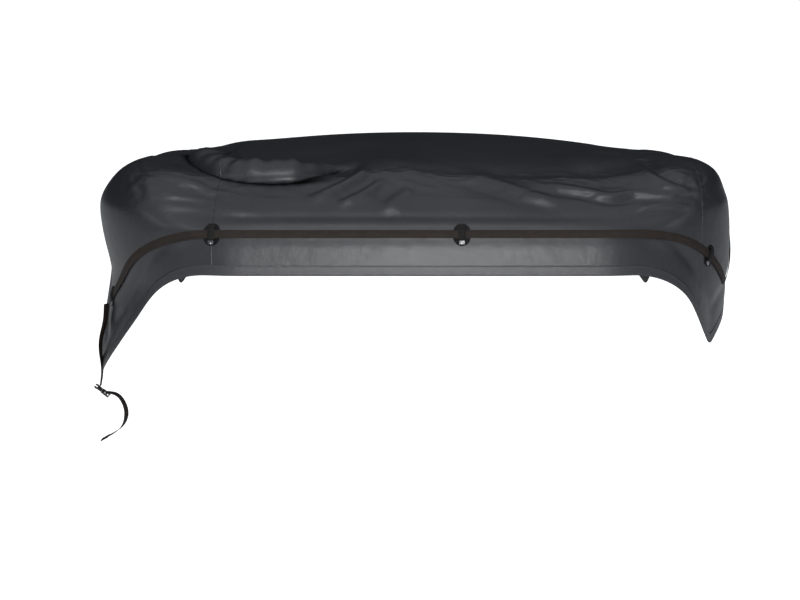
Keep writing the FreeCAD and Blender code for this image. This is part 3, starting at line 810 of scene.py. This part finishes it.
def stripe(tree, value, pitch):
    """A soft wave between 0 and 1 that repeats every `pitch` metres."""
    turned = maths(tree, "MULTIPLY", value, 2 * math.pi / pitch)
    return maths(tree, "MULTIPLY_ADD", maths(tree, "SINE", turned), 0.5)


def metres_uv(tree):
    return add(tree, "SeparateXYZ", Vector=add(tree, "UVMap", {"uv_map": "metres"}).outputs["UV"]).outputs


def near_line(tree, value, at, reach):
    """1 where `value` is within `reach` of `at`, 0 elsewhere."""
    return maths(tree, "LESS_THAN", maths(tree, "ABSOLUTE", maths(tree, "SUBTRACT", value, at)), reach)


def mix_colour(tree, share, first, second):
    return add(tree, "Mix", {"data_type": "RGBA"}, i0=share, i6=first, i7=(*second, 1)).outputs[2]


def fine_grain(tree, where):
    return bump(tree, noise(tree, where, 1400.0, 2.0), 0.00006, 0.6)


def coated_fabric(name, low, high, roughness, seams=True):
    """Vinyl-coated polyester: fine grain, small creases, welded seams, and painted shade darkening the
    crevice under the rolled fold.
    """
    material, tree, where = new_material(name)
    # painted shade: this attribute blackens the colour and drops the reflections in the crease under the
    # rolled fold
    painted_crevice_shade = add(tree, "Attribute", {"attribute_name": "painted_crevice_shade"}).outputs["Fac"]
    mottled = ramp(tree, noise(tree, where, 5.0), low, high)
    scuff = noise(tree, where, 60.0, 6.0, 0.7)
    normal = bump(tree, noise(tree, where, 28.0, 3.0, 0.5), 0.0022, 0.5, fine_grain(tree, where))
    if seams:
        x = add(tree, "SeparateXYZ", Vector=where).outputs["X"]
        for seam_x in (SEAM_LEFT, SEAM_RIGHT):
            normal = bump(tree, near_line(tree, x, seam_x, 0.010), 0.0003, 0.4, normal)
    return finish_material(
        material, mix_colour(tree, painted_crevice_shade, mottled, (0.001, 0.001, 0.001)),
        spread(tree, scuff, roughness - 0.05, roughness + 0.07), normal,
        Specular_IOR_Level=spread(tree, painted_crevice_shade, 0.42, 0.02))


def lining_fabric(name, low, high):
    """The uncoated inside: a matt plain weave."""
    material, tree, where = new_material(name)
    parts = add(tree, "SeparateXYZ", Vector=where).outputs
    weave = maths(tree, "MULTIPLY", stripe(tree, parts["X"], 0.0011), stripe(tree, parts["Y"], 0.0011))
    return finish_material(
        material, ramp(tree, noise(tree, where, 9.0), low, high),
        spread(tree, noise(tree, where, 90.0), 0.7, 0.85), bump(tree, weave, 0.0001, 0.5),
        Specular_IOR_Level=0.25)


def stitched_hem(name, low, high):
    """The folded hem: the cover's fabric with two rows of lock stitches."""
    material, tree, where = new_material(name)
    metres = metres_uv(tree)
    dash = maths(tree, "GREATER_THAN", stripe(tree, metres["X"], 0.0042), 0.28)
    rows = [near_line(tree, metres["Y"], height, 0.00055) for height in (0.0045, 0.0205)]
    thread = maths(tree, "MULTIPLY", maths(tree, "MAXIMUM", *rows), dash)
    cloth = ramp(tree, noise(tree, where, 6.0), low, high)
    puckers = bump(tree, noise(tree, where, 75.0, 2.0), 0.0012, 0.4, fine_grain(tree, where))
    return finish_material(
        material, mix_colour(tree, thread, cloth, (0.03, 0.03, 0.034)),
        spread(tree, noise(tree, where, 60.0, 6.0), 0.38, 0.48), bump(tree, thread, 0.0004, 0.7, puckers))


def webbing_weave(name, low, high, across):
    """Polypropylene webbing: fine ribs across the strap, with a herringbone along it."""
    material, tree, where = new_material(name)
    metres = metres_uv(tree)
    slant = maths(tree, "ABSOLUTE", maths(tree, "SUBTRACT", metres["Y"], across / 2))
    ribs = stripe(tree, maths(tree, "ADD", metres["X"], slant), 0.0038)
    cords = stripe(tree, metres["Y"], 0.0021)
    weave = maths(tree, "MULTIPLY", ribs, maths(tree, "MULTIPLY_ADD", cords, 0.5))
    worn = maths(tree, "MULTIPLY_ADD", noise(tree, where, 40.0), 0.6)
    return finish_material(
        material, ramp(tree, maths(tree, "MULTIPLY", weave, worn), low, high, 0.1, 0.8),
        spread(tree, noise(tree, where, 120.0), 0.55, 0.75), bump(tree, weave, 0.0003, 0.8),
        Specular_IOR_Level=0.18)


def moulded_plastic(name, low, high, roughness, shine=0.5):
    material, tree, where = new_material(name)
    texture = bump(tree, noise(tree, where, 2200.0, 2.0), 0.00004, 0.5)
    return finish_material(
        material, ramp(tree, noise(tree, where, 30.0), low, high),
        spread(tree, noise(tree, where, 200.0), roughness - 0.06, roughness + 0.08),
        bump(tree, noise(tree, where, 120.0, 2.0), 0.0002, 0.2, texture), Specular_IOR_Level=shine)


def worn_metal(name, low, high, roughness):
    """Plated metal with fine drawing marks and duller patches."""
    material, tree, where = new_material(name)
    stretched = add(tree, "Mapping", Vector=where, Scale=(1, 1, 14)).outputs["Vector"]
    marks = noise(tree, stretched, 900.0, 3.0)
    return finish_material(
        material, ramp(tree, noise(tree, where, 150.0), low, high),
        spread(tree, marks, roughness - 0.05, roughness + 0.12), bump(tree, marks, 0.00003, 0.5),
        Metallic=1.0)


def foil_foam(name, low, high):
    """Foil-faced foam: silvery, with a small diamond emboss and soft handling dents."""
    material, tree, where = new_material(name)
    parts = add(tree, "SeparateXYZ", Vector=where).outputs
    rising = stripe(tree, maths(tree, "ADD", parts["X"], parts["Y"]), 0.012)
    falling = stripe(tree, maths(tree, "SUBTRACT", parts["X"], parts["Y"]), 0.012)
    dents = bump(tree, noise(tree, where, 18.0, 3.0), 0.004, 0.4)
    return finish_material(
        material, ramp(tree, noise(tree, where, 14.0), low, high),
        spread(tree, noise(tree, where, 45.0), 0.28, 0.45),
        bump(tree, maths(tree, "MULTIPLY", rising, falling), 0.0006, 0.6, dents), Metallic=0.75)


def floor_finish(name):
    """Matt white, glowing a little so that it meets the background without a line."""
    material, tree, where = new_material(name)
    seen = add(tree, "LightPath").outputs["Is Camera Ray"]
    return finish_material(
        material, ramp(tree, noise(tree, where, 0.8), (0.86, 0.86, 0.86), (0.89, 0.89, 0.89)),
        spread(tree, noise(tree, where, 3.0), 0.8, 0.9),
        bump(tree, noise(tree, where, 40.0), 0.0005, 0.2), Specular_IOR_Level=0.1,
        Emission_Color=(1, 1, 1, 1), Emission_Strength=spread(tree, seen, 0.12, 0.85))


COVER = coated_fabric("cover coated fabric", (0.012, 0.013, 0.0155), (0.017, 0.018, 0.0215), 0.38)
COVER_INSIDE = lining_fabric("cover inside", (0.006, 0.006, 0.006), (0.011, 0.011, 0.012))
HEM = stitched_hem("hem fabric and stitches", (0.012, 0.013, 0.0155), (0.017, 0.018, 0.0215))
TAPE = coated_fabric("seam tape", (0.012, 0.012, 0.013), (0.018, 0.018, 0.019), 0.5, seams=False)
STRAP = webbing_weave("brown webbing", (0.004, 0.0028, 0.0022), (0.036, 0.025, 0.020), STRAP_W)
LOOP = webbing_weave("black webbing", (0.002, 0.002, 0.002), (0.008, 0.008, 0.008), 0.017)
PATCH = moulded_plastic("patch rubber", (0.003, 0.003, 0.0035), (0.006, 0.006, 0.007), 0.55, 0.12)
CLIP = worn_metal("plated clip", (0.09, 0.09, 0.095), (0.20, 0.20, 0.21), 0.30)
RIVET = worn_metal("steel rivet", (0.42, 0.42, 0.43), (0.60, 0.60, 0.61), 0.26)
BUCKLE = moulded_plastic("buckle plastic", (0.006, 0.006, 0.006), (0.012, 0.012, 0.012), 0.34)
BLADDER = coated_fabric("insert vinyl", (0.24, 0.27, 0.31), (0.30, 0.33, 0.37), 0.34, seams=False)
VALVE = moulded_plastic("valve plastic", (0.45, 0.48, 0.50), (0.55, 0.58, 0.60), 0.32)
POCKET = lining_fabric("pocket fabric", (0.010, 0.010, 0.011), (0.020, 0.020, 0.021))
FOIL = foil_foam("liner foil", (0.48, 0.49, 0.50), (0.66, 0.67, 0.68))
ZIP_TAPE = lining_fabric("zip tape", (0.005, 0.005, 0.005), (0.010, 0.010, 0.010))
ZIP_METAL = worn_metal("zip metal", (0.36, 0.36, 0.37), (0.52, 0.52, 0.53), 0.3)


# Cutting the sheet into its panels, hem and tapes


def part_of(source, name, low_x, high_x, keep_face):
    """Copy of the sheet between two X planes, with only the faces that keep_face accepts."""
    grid = bmesh.new()
    grid.from_mesh(source.data)
    height = grid.verts.layers.float["above_hem"]
    unwanted = [
        f for f in grid.faces
        if not keep_face(sum(v[height] for v in f.verts) / len(f.verts))
    ]
    bmesh.ops.delete(grid, geom=unwanted, context="FACES")
    for at, direction in ((low_x, -1), (high_x, 1)):
        geometry = list(grid.verts) + list(grid.edges) + list(grid.faces)
        bmesh.ops.bisect_plane(
            grid, geom=geometry, plane_co=(at, 0, 0), plane_no=(direction, 0, 0), clear_outer=True)
    mesh = bpy.data.meshes.new(name)
    grid.to_mesh(mesh)
    grid.free()
    return link(bpy.data.objects.new(name, mesh))


def thicken_cloth(obj, thickness, offset, outside, inside):
    obj.data.materials.clear()
    obj.data.materials.append(outside)
    obj.data.materials.append(inside)
    solid = obj.modifiers.new("thickness", "SOLIDIFY")
    solid.thickness = thickness
    solid.offset = offset
    solid.material_offset = 1


def shift_out(obj, distance):
    """Moves the whole piece of sheet along its own normals."""
    set_coordinates(obj.data, coordinates(obj.data) + vertex_normals(obj.data) * distance)


def make_panels(source):
    """The three panels, each cut from the sheet between its two X planes."""
    for name, low, high, node, flat, area in PANELS:
        panel = part_of(source, name, low, high, lambda height: height > HEM_BAND - HEM_LAP)
        if node != "centre_panel":
            shift_out(panel, SEAM_STEP)
        thicken_cloth(panel, FABRIC_T, -1, COVER, COVER_INSIDE)
        finish_piece(panel, "cover", "cover_fabric", node)


def make_hem(source):
    band = part_of(source, "hem_band", -1, 1, lambda height: height < HEM_BAND)
    thicken_cloth(band, HEM_T, HEM_CENTRED, HEM, HEM)
    finish_piece(band, "cover", "hem_binding", "hem_binding")


def make_tapes(source):
    """Tape welded along the inside of each seam."""
    for side, seam_x in (("left", SEAM_LEFT), ("right", SEAM_RIGHT)):
        tape = part_of(source, f"seam_tape_strip_{side}", seam_x - TAPE_HALF, seam_x + TAPE_HALF,
                       lambda height: height > HEM_BAND + TAPE_HEM_GAP)
        shift_out(tape, -TAPE_DEPTH)
        thicken_cloth(tape, TAPE_T, -1, TAPE, TAPE)
        finish_piece(tape, "cover", "seam_tape", f"seam_tape_{side}")


# Webbing: its section as (share of the width, share of the thickness), and the strap's line

RIBBON_SECTION = (
    (-0.47, 0.0), (0.0, 0.0), (0.47, 0.0), (0.5, 0.25), (0.5, 0.75),
    (0.47, 1.0), (0.0, 1.0), (-0.47, 1.0), (-0.5, 0.75), (-0.5, 0.25),
)
STRAP_STATIONS = 461
STRAP_START_GAP = 0.004
STRAP_LIFT = 0.0022       # the strap lies this far off the sheet
ARCH_SMOOTHING = 14       # passes that ease its height, its line and its facing
LINE_SMOOTHING = 3
FACING_SMOOTHING = 12


def ribbon(name, centres, across, outward, width, thickness, material):
    """Flat webbing along `centres`, lying on them and rising by its thickness along `outward`."""
    centres, across, outward = (np.asarray(a, float) for a in (centres, across, outward))
    run = np.concatenate([[0], np.cumsum(np.linalg.norm(np.diff(centres, axis=0), axis=1))])
    count = len(RIBBON_SECTION)
    points = []
    for centre, side, out in zip(centres, across, outward):
        points += [centre + side * (width * a) + out * (thickness * t) for a, t in RIBBON_SECTION]
    height = [(a + 0.5) * width for a, _ in RIBBON_SECTION]
    corners = []
    for start, end in zip(run, run[1:]):
        for low, high in zip(height, height[1:] + height[:1]):
            corners += [(start, low), (start, high), (end, high), (end, low)]
    corners += [(0.0, low) for low in height] * 2
    faces = tube_faces(len(centres), count)
    obj = mesh_object(name, points, faces, material)
    add_metres(obj.data, corners)
    fix_normals(obj)
    return obj


def fix_normals(obj):
    grid = bmesh.new()
    grid.from_mesh(obj.data)
    bmesh.ops.recalc_face_normals(grid, faces=grid.faces)
    grid.to_mesh(obj.data)
    grid.free()


def unit(vectors):
    vectors = np.asarray(vectors, float)
    return vectors / np.linalg.norm(vectors, axis=-1, keepdims=True)


def smooth_along(values, passes):
    """Evens out a row of values, keeping its two ends."""
    values = np.array(values, float)
    for _ in range(passes):
        values[1:-1] = (values[:-2] + 2 * values[1:-1] + values[2:]) / 4
    return values


class Surface:
    """The outside of the draped sheet, for laying pieces on it."""

    FROM_SIDE = 0.12
    FROM_ABOVE = 0.4

    def __init__(self, obj):
        polygons = [tuple(p.vertices) for p in obj.data.polygons]
        self.tree = BVHTree.FromPolygons([tuple(c) for c in coordinates(obj.data)], polygons)

    def hit(self, origin, direction):
        place_hit, normal, _, _ = self.tree.ray_cast(Vector(origin), Vector(direction))
        return place_hit, normal

    def skirt_point(self, station, height):
        plan, normal = outline(np.asarray([station]))
        outward = np.array([normal[0, 0], normal[0, 1], 0.0])
        on_cad = np.array([plan[0, 0], plan[0, 1], height])
        found, facing = self.hit(on_cad + outward * self.FROM_SIDE, -outward)
        if found is None:
            return on_cad, outward
        return np.array(found), np.array(facing)

    def under(self, x, y):
        """Height of the sheet above a plan point."""
        found, _ = self.hit((x, y, self.FROM_ABOVE), (0, 0, -1))
        return found.z


def strap_heights(stations):
    """The strap's height: parallel to the hem, and higher round the front right corner."""
    plan, _ = outline(stations)
    lifted = STRAP_RIGHT_LIFT * corner_share(plan[:, 0], plan[:, 1], 1)
    return smooth_along(line_height(STRAP_INSET, plan) + lifted, ARCH_SMOOTHING)


def make_cinch_strap(surface):
    """The strap round the skirt, pulled straight across small hollows."""
    last = 3 * QUARTER - STRAP_END_Y
    stations = np.linspace(EXIT_KEEPER + STRAP_START_GAP, last, STRAP_STATIONS)
    heights = strap_heights(stations)
    found = [surface.skirt_point(s, z) for s, z in zip(stations, heights)]
    centres = smooth_along([f[0] for f in found], LINE_SMOOTHING)
    outward = unit(smooth_along([f[1] for f in found], FACING_SMOOTHING))
    tangent = unit(np.gradient(centres, axis=0))
    across = unit(np.cross(outward, tangent))
    lifted = centres + outward * STRAP_LIFT
    strap = ribbon("strap_webbing", lifted, across, outward, STRAP_W, STRAP_T, STRAP)
    finish_piece(strap, "cover", "webbing", "cinch_strap")
    return stations, centres, outward, tangent


# Keepers, made flat in their own frame: x along the strap, y across it, z outwards

PATCH_HALF = 0.0205
PATCH_STRAIGHT = 0.014
PATCH_PROBE = 0.03
PATCH_RINGS = (       # (share of the outline, height)
    (1.0, 0.0002), (1.0, 0.0009), (0.96, 0.0013), (0.90, 0.0013), (0.87, 0.0010), (0.5, 0.0010),
    (0.15, 0.0010),
)
LOOP_W = 0.017
LOOP_T = 0.0012
LOOP_PATH = (         # (y, z), from its upper end over the strap to its lower end
    (0.025, 0.0014), (0.0205, 0.0014), (0.0165, 0.0016), (0.0135, 0.0046), (0.009, 0.0049),
    (0.0, 0.0050), (-0.009, 0.0049), (-0.0135, 0.0046), (-0.0165, 0.0016), (-0.0205, 0.0014),
    (-0.025, 0.0014),
)
CLIP_SECTION = (      # (y, z) round the plate and its curled top edge
    (-0.0250, 0.0026), (-0.0250, 0.0038), (-0.0200, 0.0040), (-0.0178, 0.0044),
    (-0.0166, 0.0054), (-0.0160, 0.0050), (-0.0170, 0.0034), (-0.0200, 0.0028),
)
CLIP_HALF = 0.0065
CLIP_TAPER = 0.001
CLIP_INSET = 0.0008
CLIP_MIDDLE_Y = -0.02
CLIP_BEVEL = 0.0003
RIVET_R = 0.0024
RIVET_H = 0.0012
RIVET_Y = -0.0222
RIVET_BASE = 0.0039
RIVET_RINGS = (       # (share of the radius, share of the height)
    (1.0, 0.0), (1.0, 0.25), (0.88, 0.42), (0.66, 0.55), (0.6, 0.8), (0.42, 0.97), (0.16, 1.0),
)


def keeper_stations():
    last = PERIMETER + EXIT_KEEPER
    hidden = KEEPER_COUNT - len(FRONT_KEEPERS) - 1
    gap = (last - FRONT_KEEPERS[-1]) / (hidden + 1)
    return list(FRONT_KEEPERS) + [FRONT_KEEPERS[-1] + gap * (i + 1) for i in range(hidden + 1)]


def keeper_frame(strap, station):
    stations, centres, outward, tangent = strap
    if station > stations[-1]:
        station = station - PERIMETER
    number = int(np.argmin(np.abs(stations - station)))
    out, along = outward[number], tangent[number]
    along = unit(along - out * np.dot(along, out))
    across = np.cross(out, along)
    frame_matrix = Matrix.Identity(4)
    for column, axis in enumerate((along, across, out, centres[number])):
        for row in range(3):
            frame_matrix[row][column] = axis[row]
    return frame_matrix


def oval(half_width, straight, count=40):
    """Points round a slot shape that is longer along y."""
    turns = np.linspace(0, 2 * math.pi, count, endpoint=False)
    x = half_width * np.cos(turns)
    y = half_width * np.sin(turns)
    return np.stack([x, y + np.where(np.sin(turns) >= 0, straight / 2, -straight / 2)], -1)


def keeper_patch(surface, frame_matrix, name):
    """Oval patch with a raised rim, pressed onto the sheet."""
    edge = oval(PATCH_HALF, PATCH_STRAIGHT)
    out = np.array(frame_matrix.col[2][:3])
    points = []
    for share, height in PATCH_RINGS:
        for x, y in edge * share:
            start = np.array(frame_matrix @ Vector((x, y, PATCH_PROBE)))
            found, _ = surface.hit(start, -out)
            base = np.array(found) if found else start - out * PATCH_PROBE
            points.append(base + out * height)
    obj = mesh_object(name, points, tube_faces(len(PATCH_RINGS), len(edge)), PATCH)
    fix_normals(obj)
    return obj


def keeper_loop(frame_matrix, name):
    """Short webbing that is fixed above and below the strap and bridges over it."""
    path = curve_points(LOOP_PATH, 40)
    turn = np.array(frame_matrix.to_3x3())
    centres = [np.array(frame_matrix @ Vector((0, y, z))) for y, z in path]
    outward = [turn @ np.array([0, -rise, -run]) for run, rise in unit(np.gradient(path, axis=0))]
    across = [turn[:, 0]] * len(path)
    return ribbon(name, centres, across, outward, LOOP_W, LOOP_T, LOOP)


def keeper_clip(frame_matrix, name):
    """Crimped metal plate whose top edge curls over the loop's end, bevelled."""
    full = CLIP_HALF - CLIP_TAPER
    points = []
    for x, inset in ((-CLIP_HALF, CLIP_INSET), (-full, 0), (full, 0), (CLIP_HALF, CLIP_INSET)):
        for y, z in CLIP_SECTION:
            inwards = inset if y < CLIP_MIDDLE_Y else -inset
            points.append(frame_matrix @ Vector((x, y + inwards, z)))
    obj = mesh_object(name, points, tube_faces(4, len(CLIP_SECTION)), CLIP)
    fix_normals(obj)
    bevel = obj.modifiers.new("edges", "BEVEL")
    bevel.width = CLIP_BEVEL
    bevel.segments = 3
    bevel.limit_method = "ANGLE"
    return obj


def rivet_head(frame_matrix, count=20):
    """Points of a small domed rivet head with a flat flange, and its faces."""
    points = []
    for share, rise in RIVET_RINGS:
        for turn in np.linspace(0, 2 * math.pi, count, endpoint=False):
            x, y = RIVET_R * share * math.cos(turn), RIVET_R * share * math.sin(turn)
            points.append(frame_matrix @ Vector((x, RIVET_Y + y, RIVET_BASE + RIVET_H * rise)))
    return points, tube_faces(len(RIVET_RINGS), count)


def make_keepers(surface, strap):
    rivet_points, rivet_faces = [], []
    for number, station in enumerate(keeper_stations(), start=1):
        at = keeper_frame(strap, station)
        label = f"{number:02d}"
        pieces = {
            "patch": keeper_patch(surface, at, f"patch_{label}"),
            "loop": keeper_loop(at, f"loop_{label}"),
            "clip": keeper_clip(at, f"clip_{label}"),
        }
        for kind, piece in pieces.items():
            finish_piece(piece, "cover", f"keeper_{kind}", f"keeper_{kind}_{label}")
        points, faces = rivet_head(at)
        rivet_faces += [tuple(v + len(rivet_points) for v in f) for f in faces]
        rivet_points += points
    rivets = mesh_object("rivets", rivet_points, rivet_faces, RIVET)
    fix_normals(rivets)
    finish_piece(rivets, "cover", "rivet", "keeper_rivets")


# The strap's free end


def cord_line(name, route):
    """Points along the smooth line through a route in the plane Y = FREE_Y."""
    curve = bpy.data.curves.new(name, "CURVE")
    curve.dimensions = "3D"
    spline = curve.splines.new("NURBS")
    spline.points.add(len(route) - 1)
    for point, (x, z) in zip(spline.points, route):
        point.co = (x, FREE_Y, z, 1)
    spline.order_u = 3
    spline.use_endpoint_u = True
    spline.resolution_u = 12
    line = link(bpy.data.objects.new(name, curve))
    graph = bpy.context.evaluated_depsgraph_get()
    mesh = bpy.data.meshes.new_from_object(line.evaluated_get(graph))
    points = coordinates(mesh).copy()
    bpy.data.objects.remove(line)
    return points


def free_webbing(name, points, twist):
    """Limp webbing along a line, turned about it by `twist` (share along, degrees) steps."""
    tangent = unit(np.gradient(points, axis=0))
    share = np.linspace(0, 1, len(points))
    angle = np.radians(np.interp(share, [t[0] for t in twist], [t[1] for t in twist]))[:, None]
    side = np.array([0.0, 1.0, 0.0])
    flat_out = np.cross(tangent, side)
    across = side * np.cos(angle) + flat_out * np.sin(angle)
    outward = unit(np.cross(tangent, across))
    centres = points - outward * (STRAP_T / 2)
    return ribbon(name, centres, across, outward, STRAP_W, STRAP_T, STRAP)


def make_free_strap():
    hang = cord_line("hang_line", HANG_ROUTE)
    strap = free_webbing("hanging_webbing", hang, HANG_TWIST)
    finish_piece(strap, "free_strap", "webbing", "hanging_strap")
    tail = cord_line("tail_line", TAIL_ROUTE)
    loose = free_webbing("tail_webbing", tail, TAIL_TWIST)
    finish_piece(loose, "free_strap", "webbing", "loose_tail")
    tip = tail_tip(tail)


def tail_tip(tail):
    """The tail's end, folded back on itself."""
    last = tail[-1]
    along = unit(tail[-1] - tail[-4])
    side = np.cross(along, (0.0, 1.0, 0.0))
    gap = 0.0010              # half the distance between the two layers
    end = TAIL_FOLD_L - 2 * gap
    steps = [(0.0, -gap), (end * 0.5, -gap), (end, -gap), (end + gap, -gap / 2), (end + 1.2 * gap, 0.0),
             (end + gap, gap / 2), (end, gap), (end * 0.5, gap), (2 * gap, gap)]
    centres = np.array([last + along * a + side * b for a, b in steps])
    tangent = unit(np.gradient(centres, axis=0))
    across = np.tile((0.0, 1.0, 0.0), (len(steps), 1))
    outward = np.cross(tangent, across)
    fold = ribbon("tail_tip", centres - outward * (STRAP_T / 2), across, outward, STRAP_W, STRAP_T, STRAP)
    return finish_piece(fold, "free_strap", "webbing", "tail_fold")


# The insert and its pocket

BLADDER_HALF = 0.651
BLADDER_CORNER_R = 0.256
BLADDER_MIDDLE_Z = 0.040
BLADDER_UNDER_Z = 0.0095
BLADDER_SHARES = (0.12, 0.25, 0.38, 0.5, 0.62, 0.74, 0.84, 0.91, 0.96, 0.985)
BLADDER_TOP_GAP = 0.0115      # below the dome's line, and below the sheet itself
BLADDER_SHEET_GAP = 0.008
TIE_DIMPLE = 0.003
TIE_PITCH = 0.13
POCKET_HALF = 0.719
POCKET_CORNER_R = 0.299
POCKET_BASE = 0.0032
POCKET_T = 0.001
POCKET_SLACK = 0.004
POCKET_LEVELS = 6


def rounded_ring(half, radius, count=160):
    """Evenly spaced plan points round a square with rounded corners."""
    flat = half - radius
    quarter = 2 * flat + radius * math.pi / 2
    stations = np.linspace(0, 4 * quarter, count, endpoint=False) - flat
    return outline(stations, half, radius)[0]


def make_bladder(surface):
    """The inflated insert: a fat disc with a welded rim and rows of inner ties that dimple it."""
    edge = rounded_ring(BLADDER_HALF, BLADDER_CORNER_R)
    middle = BLADDER_MIDDLE_Z

    def ring(share, is_top):
        fat = (1 - share ** 9) ** 0.5
        row = []
        for x, y in edge * share:
            ties = TIE_DIMPLE * (0.5 + 0.5 * math.cos(2 * math.pi * x / TIE_PITCH))
            if is_top:
                top = min(dome_height(x, y) - BLADDER_TOP_GAP, surface.under(x, y) - BLADDER_SHEET_GAP)
                z = middle + (top - ties - middle) * fat
            else:
                z = middle - (middle - BLADDER_UNDER_Z - ties * 0.4) * fat
            row.append((x, y, z))
        return row

    rows = [ring(share, True) for share in BLADDER_SHARES]
    rows.append([(x, y, middle) for x, y in edge])
    rows += [ring(share, False) for share in reversed(BLADDER_SHARES)]
    points = [p for row in rows for p in row]
    faces = tube_faces(len(rows), len(edge))
    obj = mesh_object("insert_bladder", points, faces, BLADDER)
    fix_normals(obj)
    finish_piece(obj, "cover", "bladder", "air_bladder")


def make_pocket_wall(surface):
    """Side band of the pocket, from the liner up to the sheet."""
    edge = rounded_ring(POCKET_HALF, POCKET_CORNER_R, 240)
    points = []
    for share in np.linspace(0, 1, POCKET_LEVELS + 1):
        for number, (x, y) in enumerate(edge):
            rise = surface.under(x, y) - LINING_GAP - POCKET_BASE
            slack = POCKET_SLACK * math.sin(math.pi * share) * (1 + 0.5 * math.sin(number * 0.55))
            shrink = 1 - slack / POCKET_HALF
            points.append((x * shrink, y * shrink, POCKET_BASE + rise * share))
    obj = mesh_object("pocket_band", points, tube_faces(POCKET_LEVELS + 1, len(edge), capped=False))
    thicken_cloth(obj, POCKET_T, 0, POCKET, POCKET)
    finish_piece(obj, "cover", "pocket_fabric", "pocket_wall")


def repaint_cad():
    """Gives the CAD nodes that keep their shape their detailed materials."""
    finishes = {
        "male_buckle": BUCKLE, "buckle_prong_front": BUCKLE, "buckle_prong_back": BUCKLE,
        "female_buckle": BUCKLE, "valve_body": VALVE, "valve_plug": VALVE, "zip_tapes": ZIP_TAPE,
        "zip_slider": ZIP_METAL, "zip_pull": ZIP_METAL, "pocket_liner": FOIL,
    }
    for node, material in finishes.items():
        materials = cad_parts[node].data.materials
        materials.clear()
        materials.append(material)


# Floor, lights and camera


def make_floor():
    corners = [(x * FLOOR_HALF, y * FLOOR_HALF, FLOOR_Z) for x, y in ((-1, -1), (1, -1), (1, 1), (-1, 1))]
    mesh_object("floor", corners, [(0, 1, 2, 3)], floor_finish("pale floor"))


def make_lights():
    for name, location, aim, width, height, watts in SOFTBOXES:
        lamp = bpy.data.lights.new(name, "AREA")
        lamp.shape = "RECTANGLE"
        lamp.size = width
        lamp.size_y = height
        lamp.energy = watts
        obj = link(bpy.data.objects.new(name, lamp))
        obj.location = location
        direction = Vector(aim) - Vector(location)
        obj.rotation_euler = direction.to_track_quat("-Z", "Y").to_euler()


def make_world():
    """White behind the object for the camera, and a soft grey surround for everything else."""
    world = bpy.data.worlds.new("studio")
    bpy.context.scene.world = world
    world.use_nodes = True
    tree = world.node_tree
    surround = tree.nodes["Background"]
    direction = add(tree, "SeparateXYZ", Vector=add(tree, "TexCoord").outputs["Generated"]).outputs
    forward = spread(tree, direction["Y"], 0.36, 0.01, -1.0, 0.3)
    overhead = spread(tree, direction["Z"], 0.0, 0.75, 0.55, 0.95)
    tree.links.new(maths(tree, "ADD", forward, overhead), surround.inputs["Strength"])
    surround.inputs["Color"].default_value = (0.90, 0.95, 1, 1)
    seen = add(tree, "Background", Color=(1, 1, 1, 1), Strength=1.0)
    ray = add(tree, "LightPath").outputs["Is Camera Ray"]
    mixed = add(tree, "MixShader", i0=ray, i1=surround.outputs[0], i2=seen.outputs[0])
    tree.links.new(mixed.outputs[0], tree.nodes["World Output"].inputs["Surface"])


def make_camera():
    lens = bpy.data.cameras.new("camera")
    lens.sensor_width = 36
    lens.lens = CAMERA_LENS
    camera = link(bpy.data.objects.new("camera", lens))
    camera.location = CAMERA_AT
    camera.rotation_euler = (CAMERA_PITCH, 0, 0)
    bpy.context.scene.camera = camera


bpy.context.scene.view_settings.view_transform = "Standard"
make_camera()
sheet = draped_sheet()
surface = Surface(sheet)
make_panels(sheet)
make_hem(sheet)
make_tapes(sheet)
strap_line = make_cinch_strap(surface)
make_keepers(surface, strap_line)
make_free_strap()
make_bladder(surface)
make_pocket_wall(surface)
repaint_cad()
bpy.data.objects.remove(sheet)
make_floor()
make_lights()
make_world()
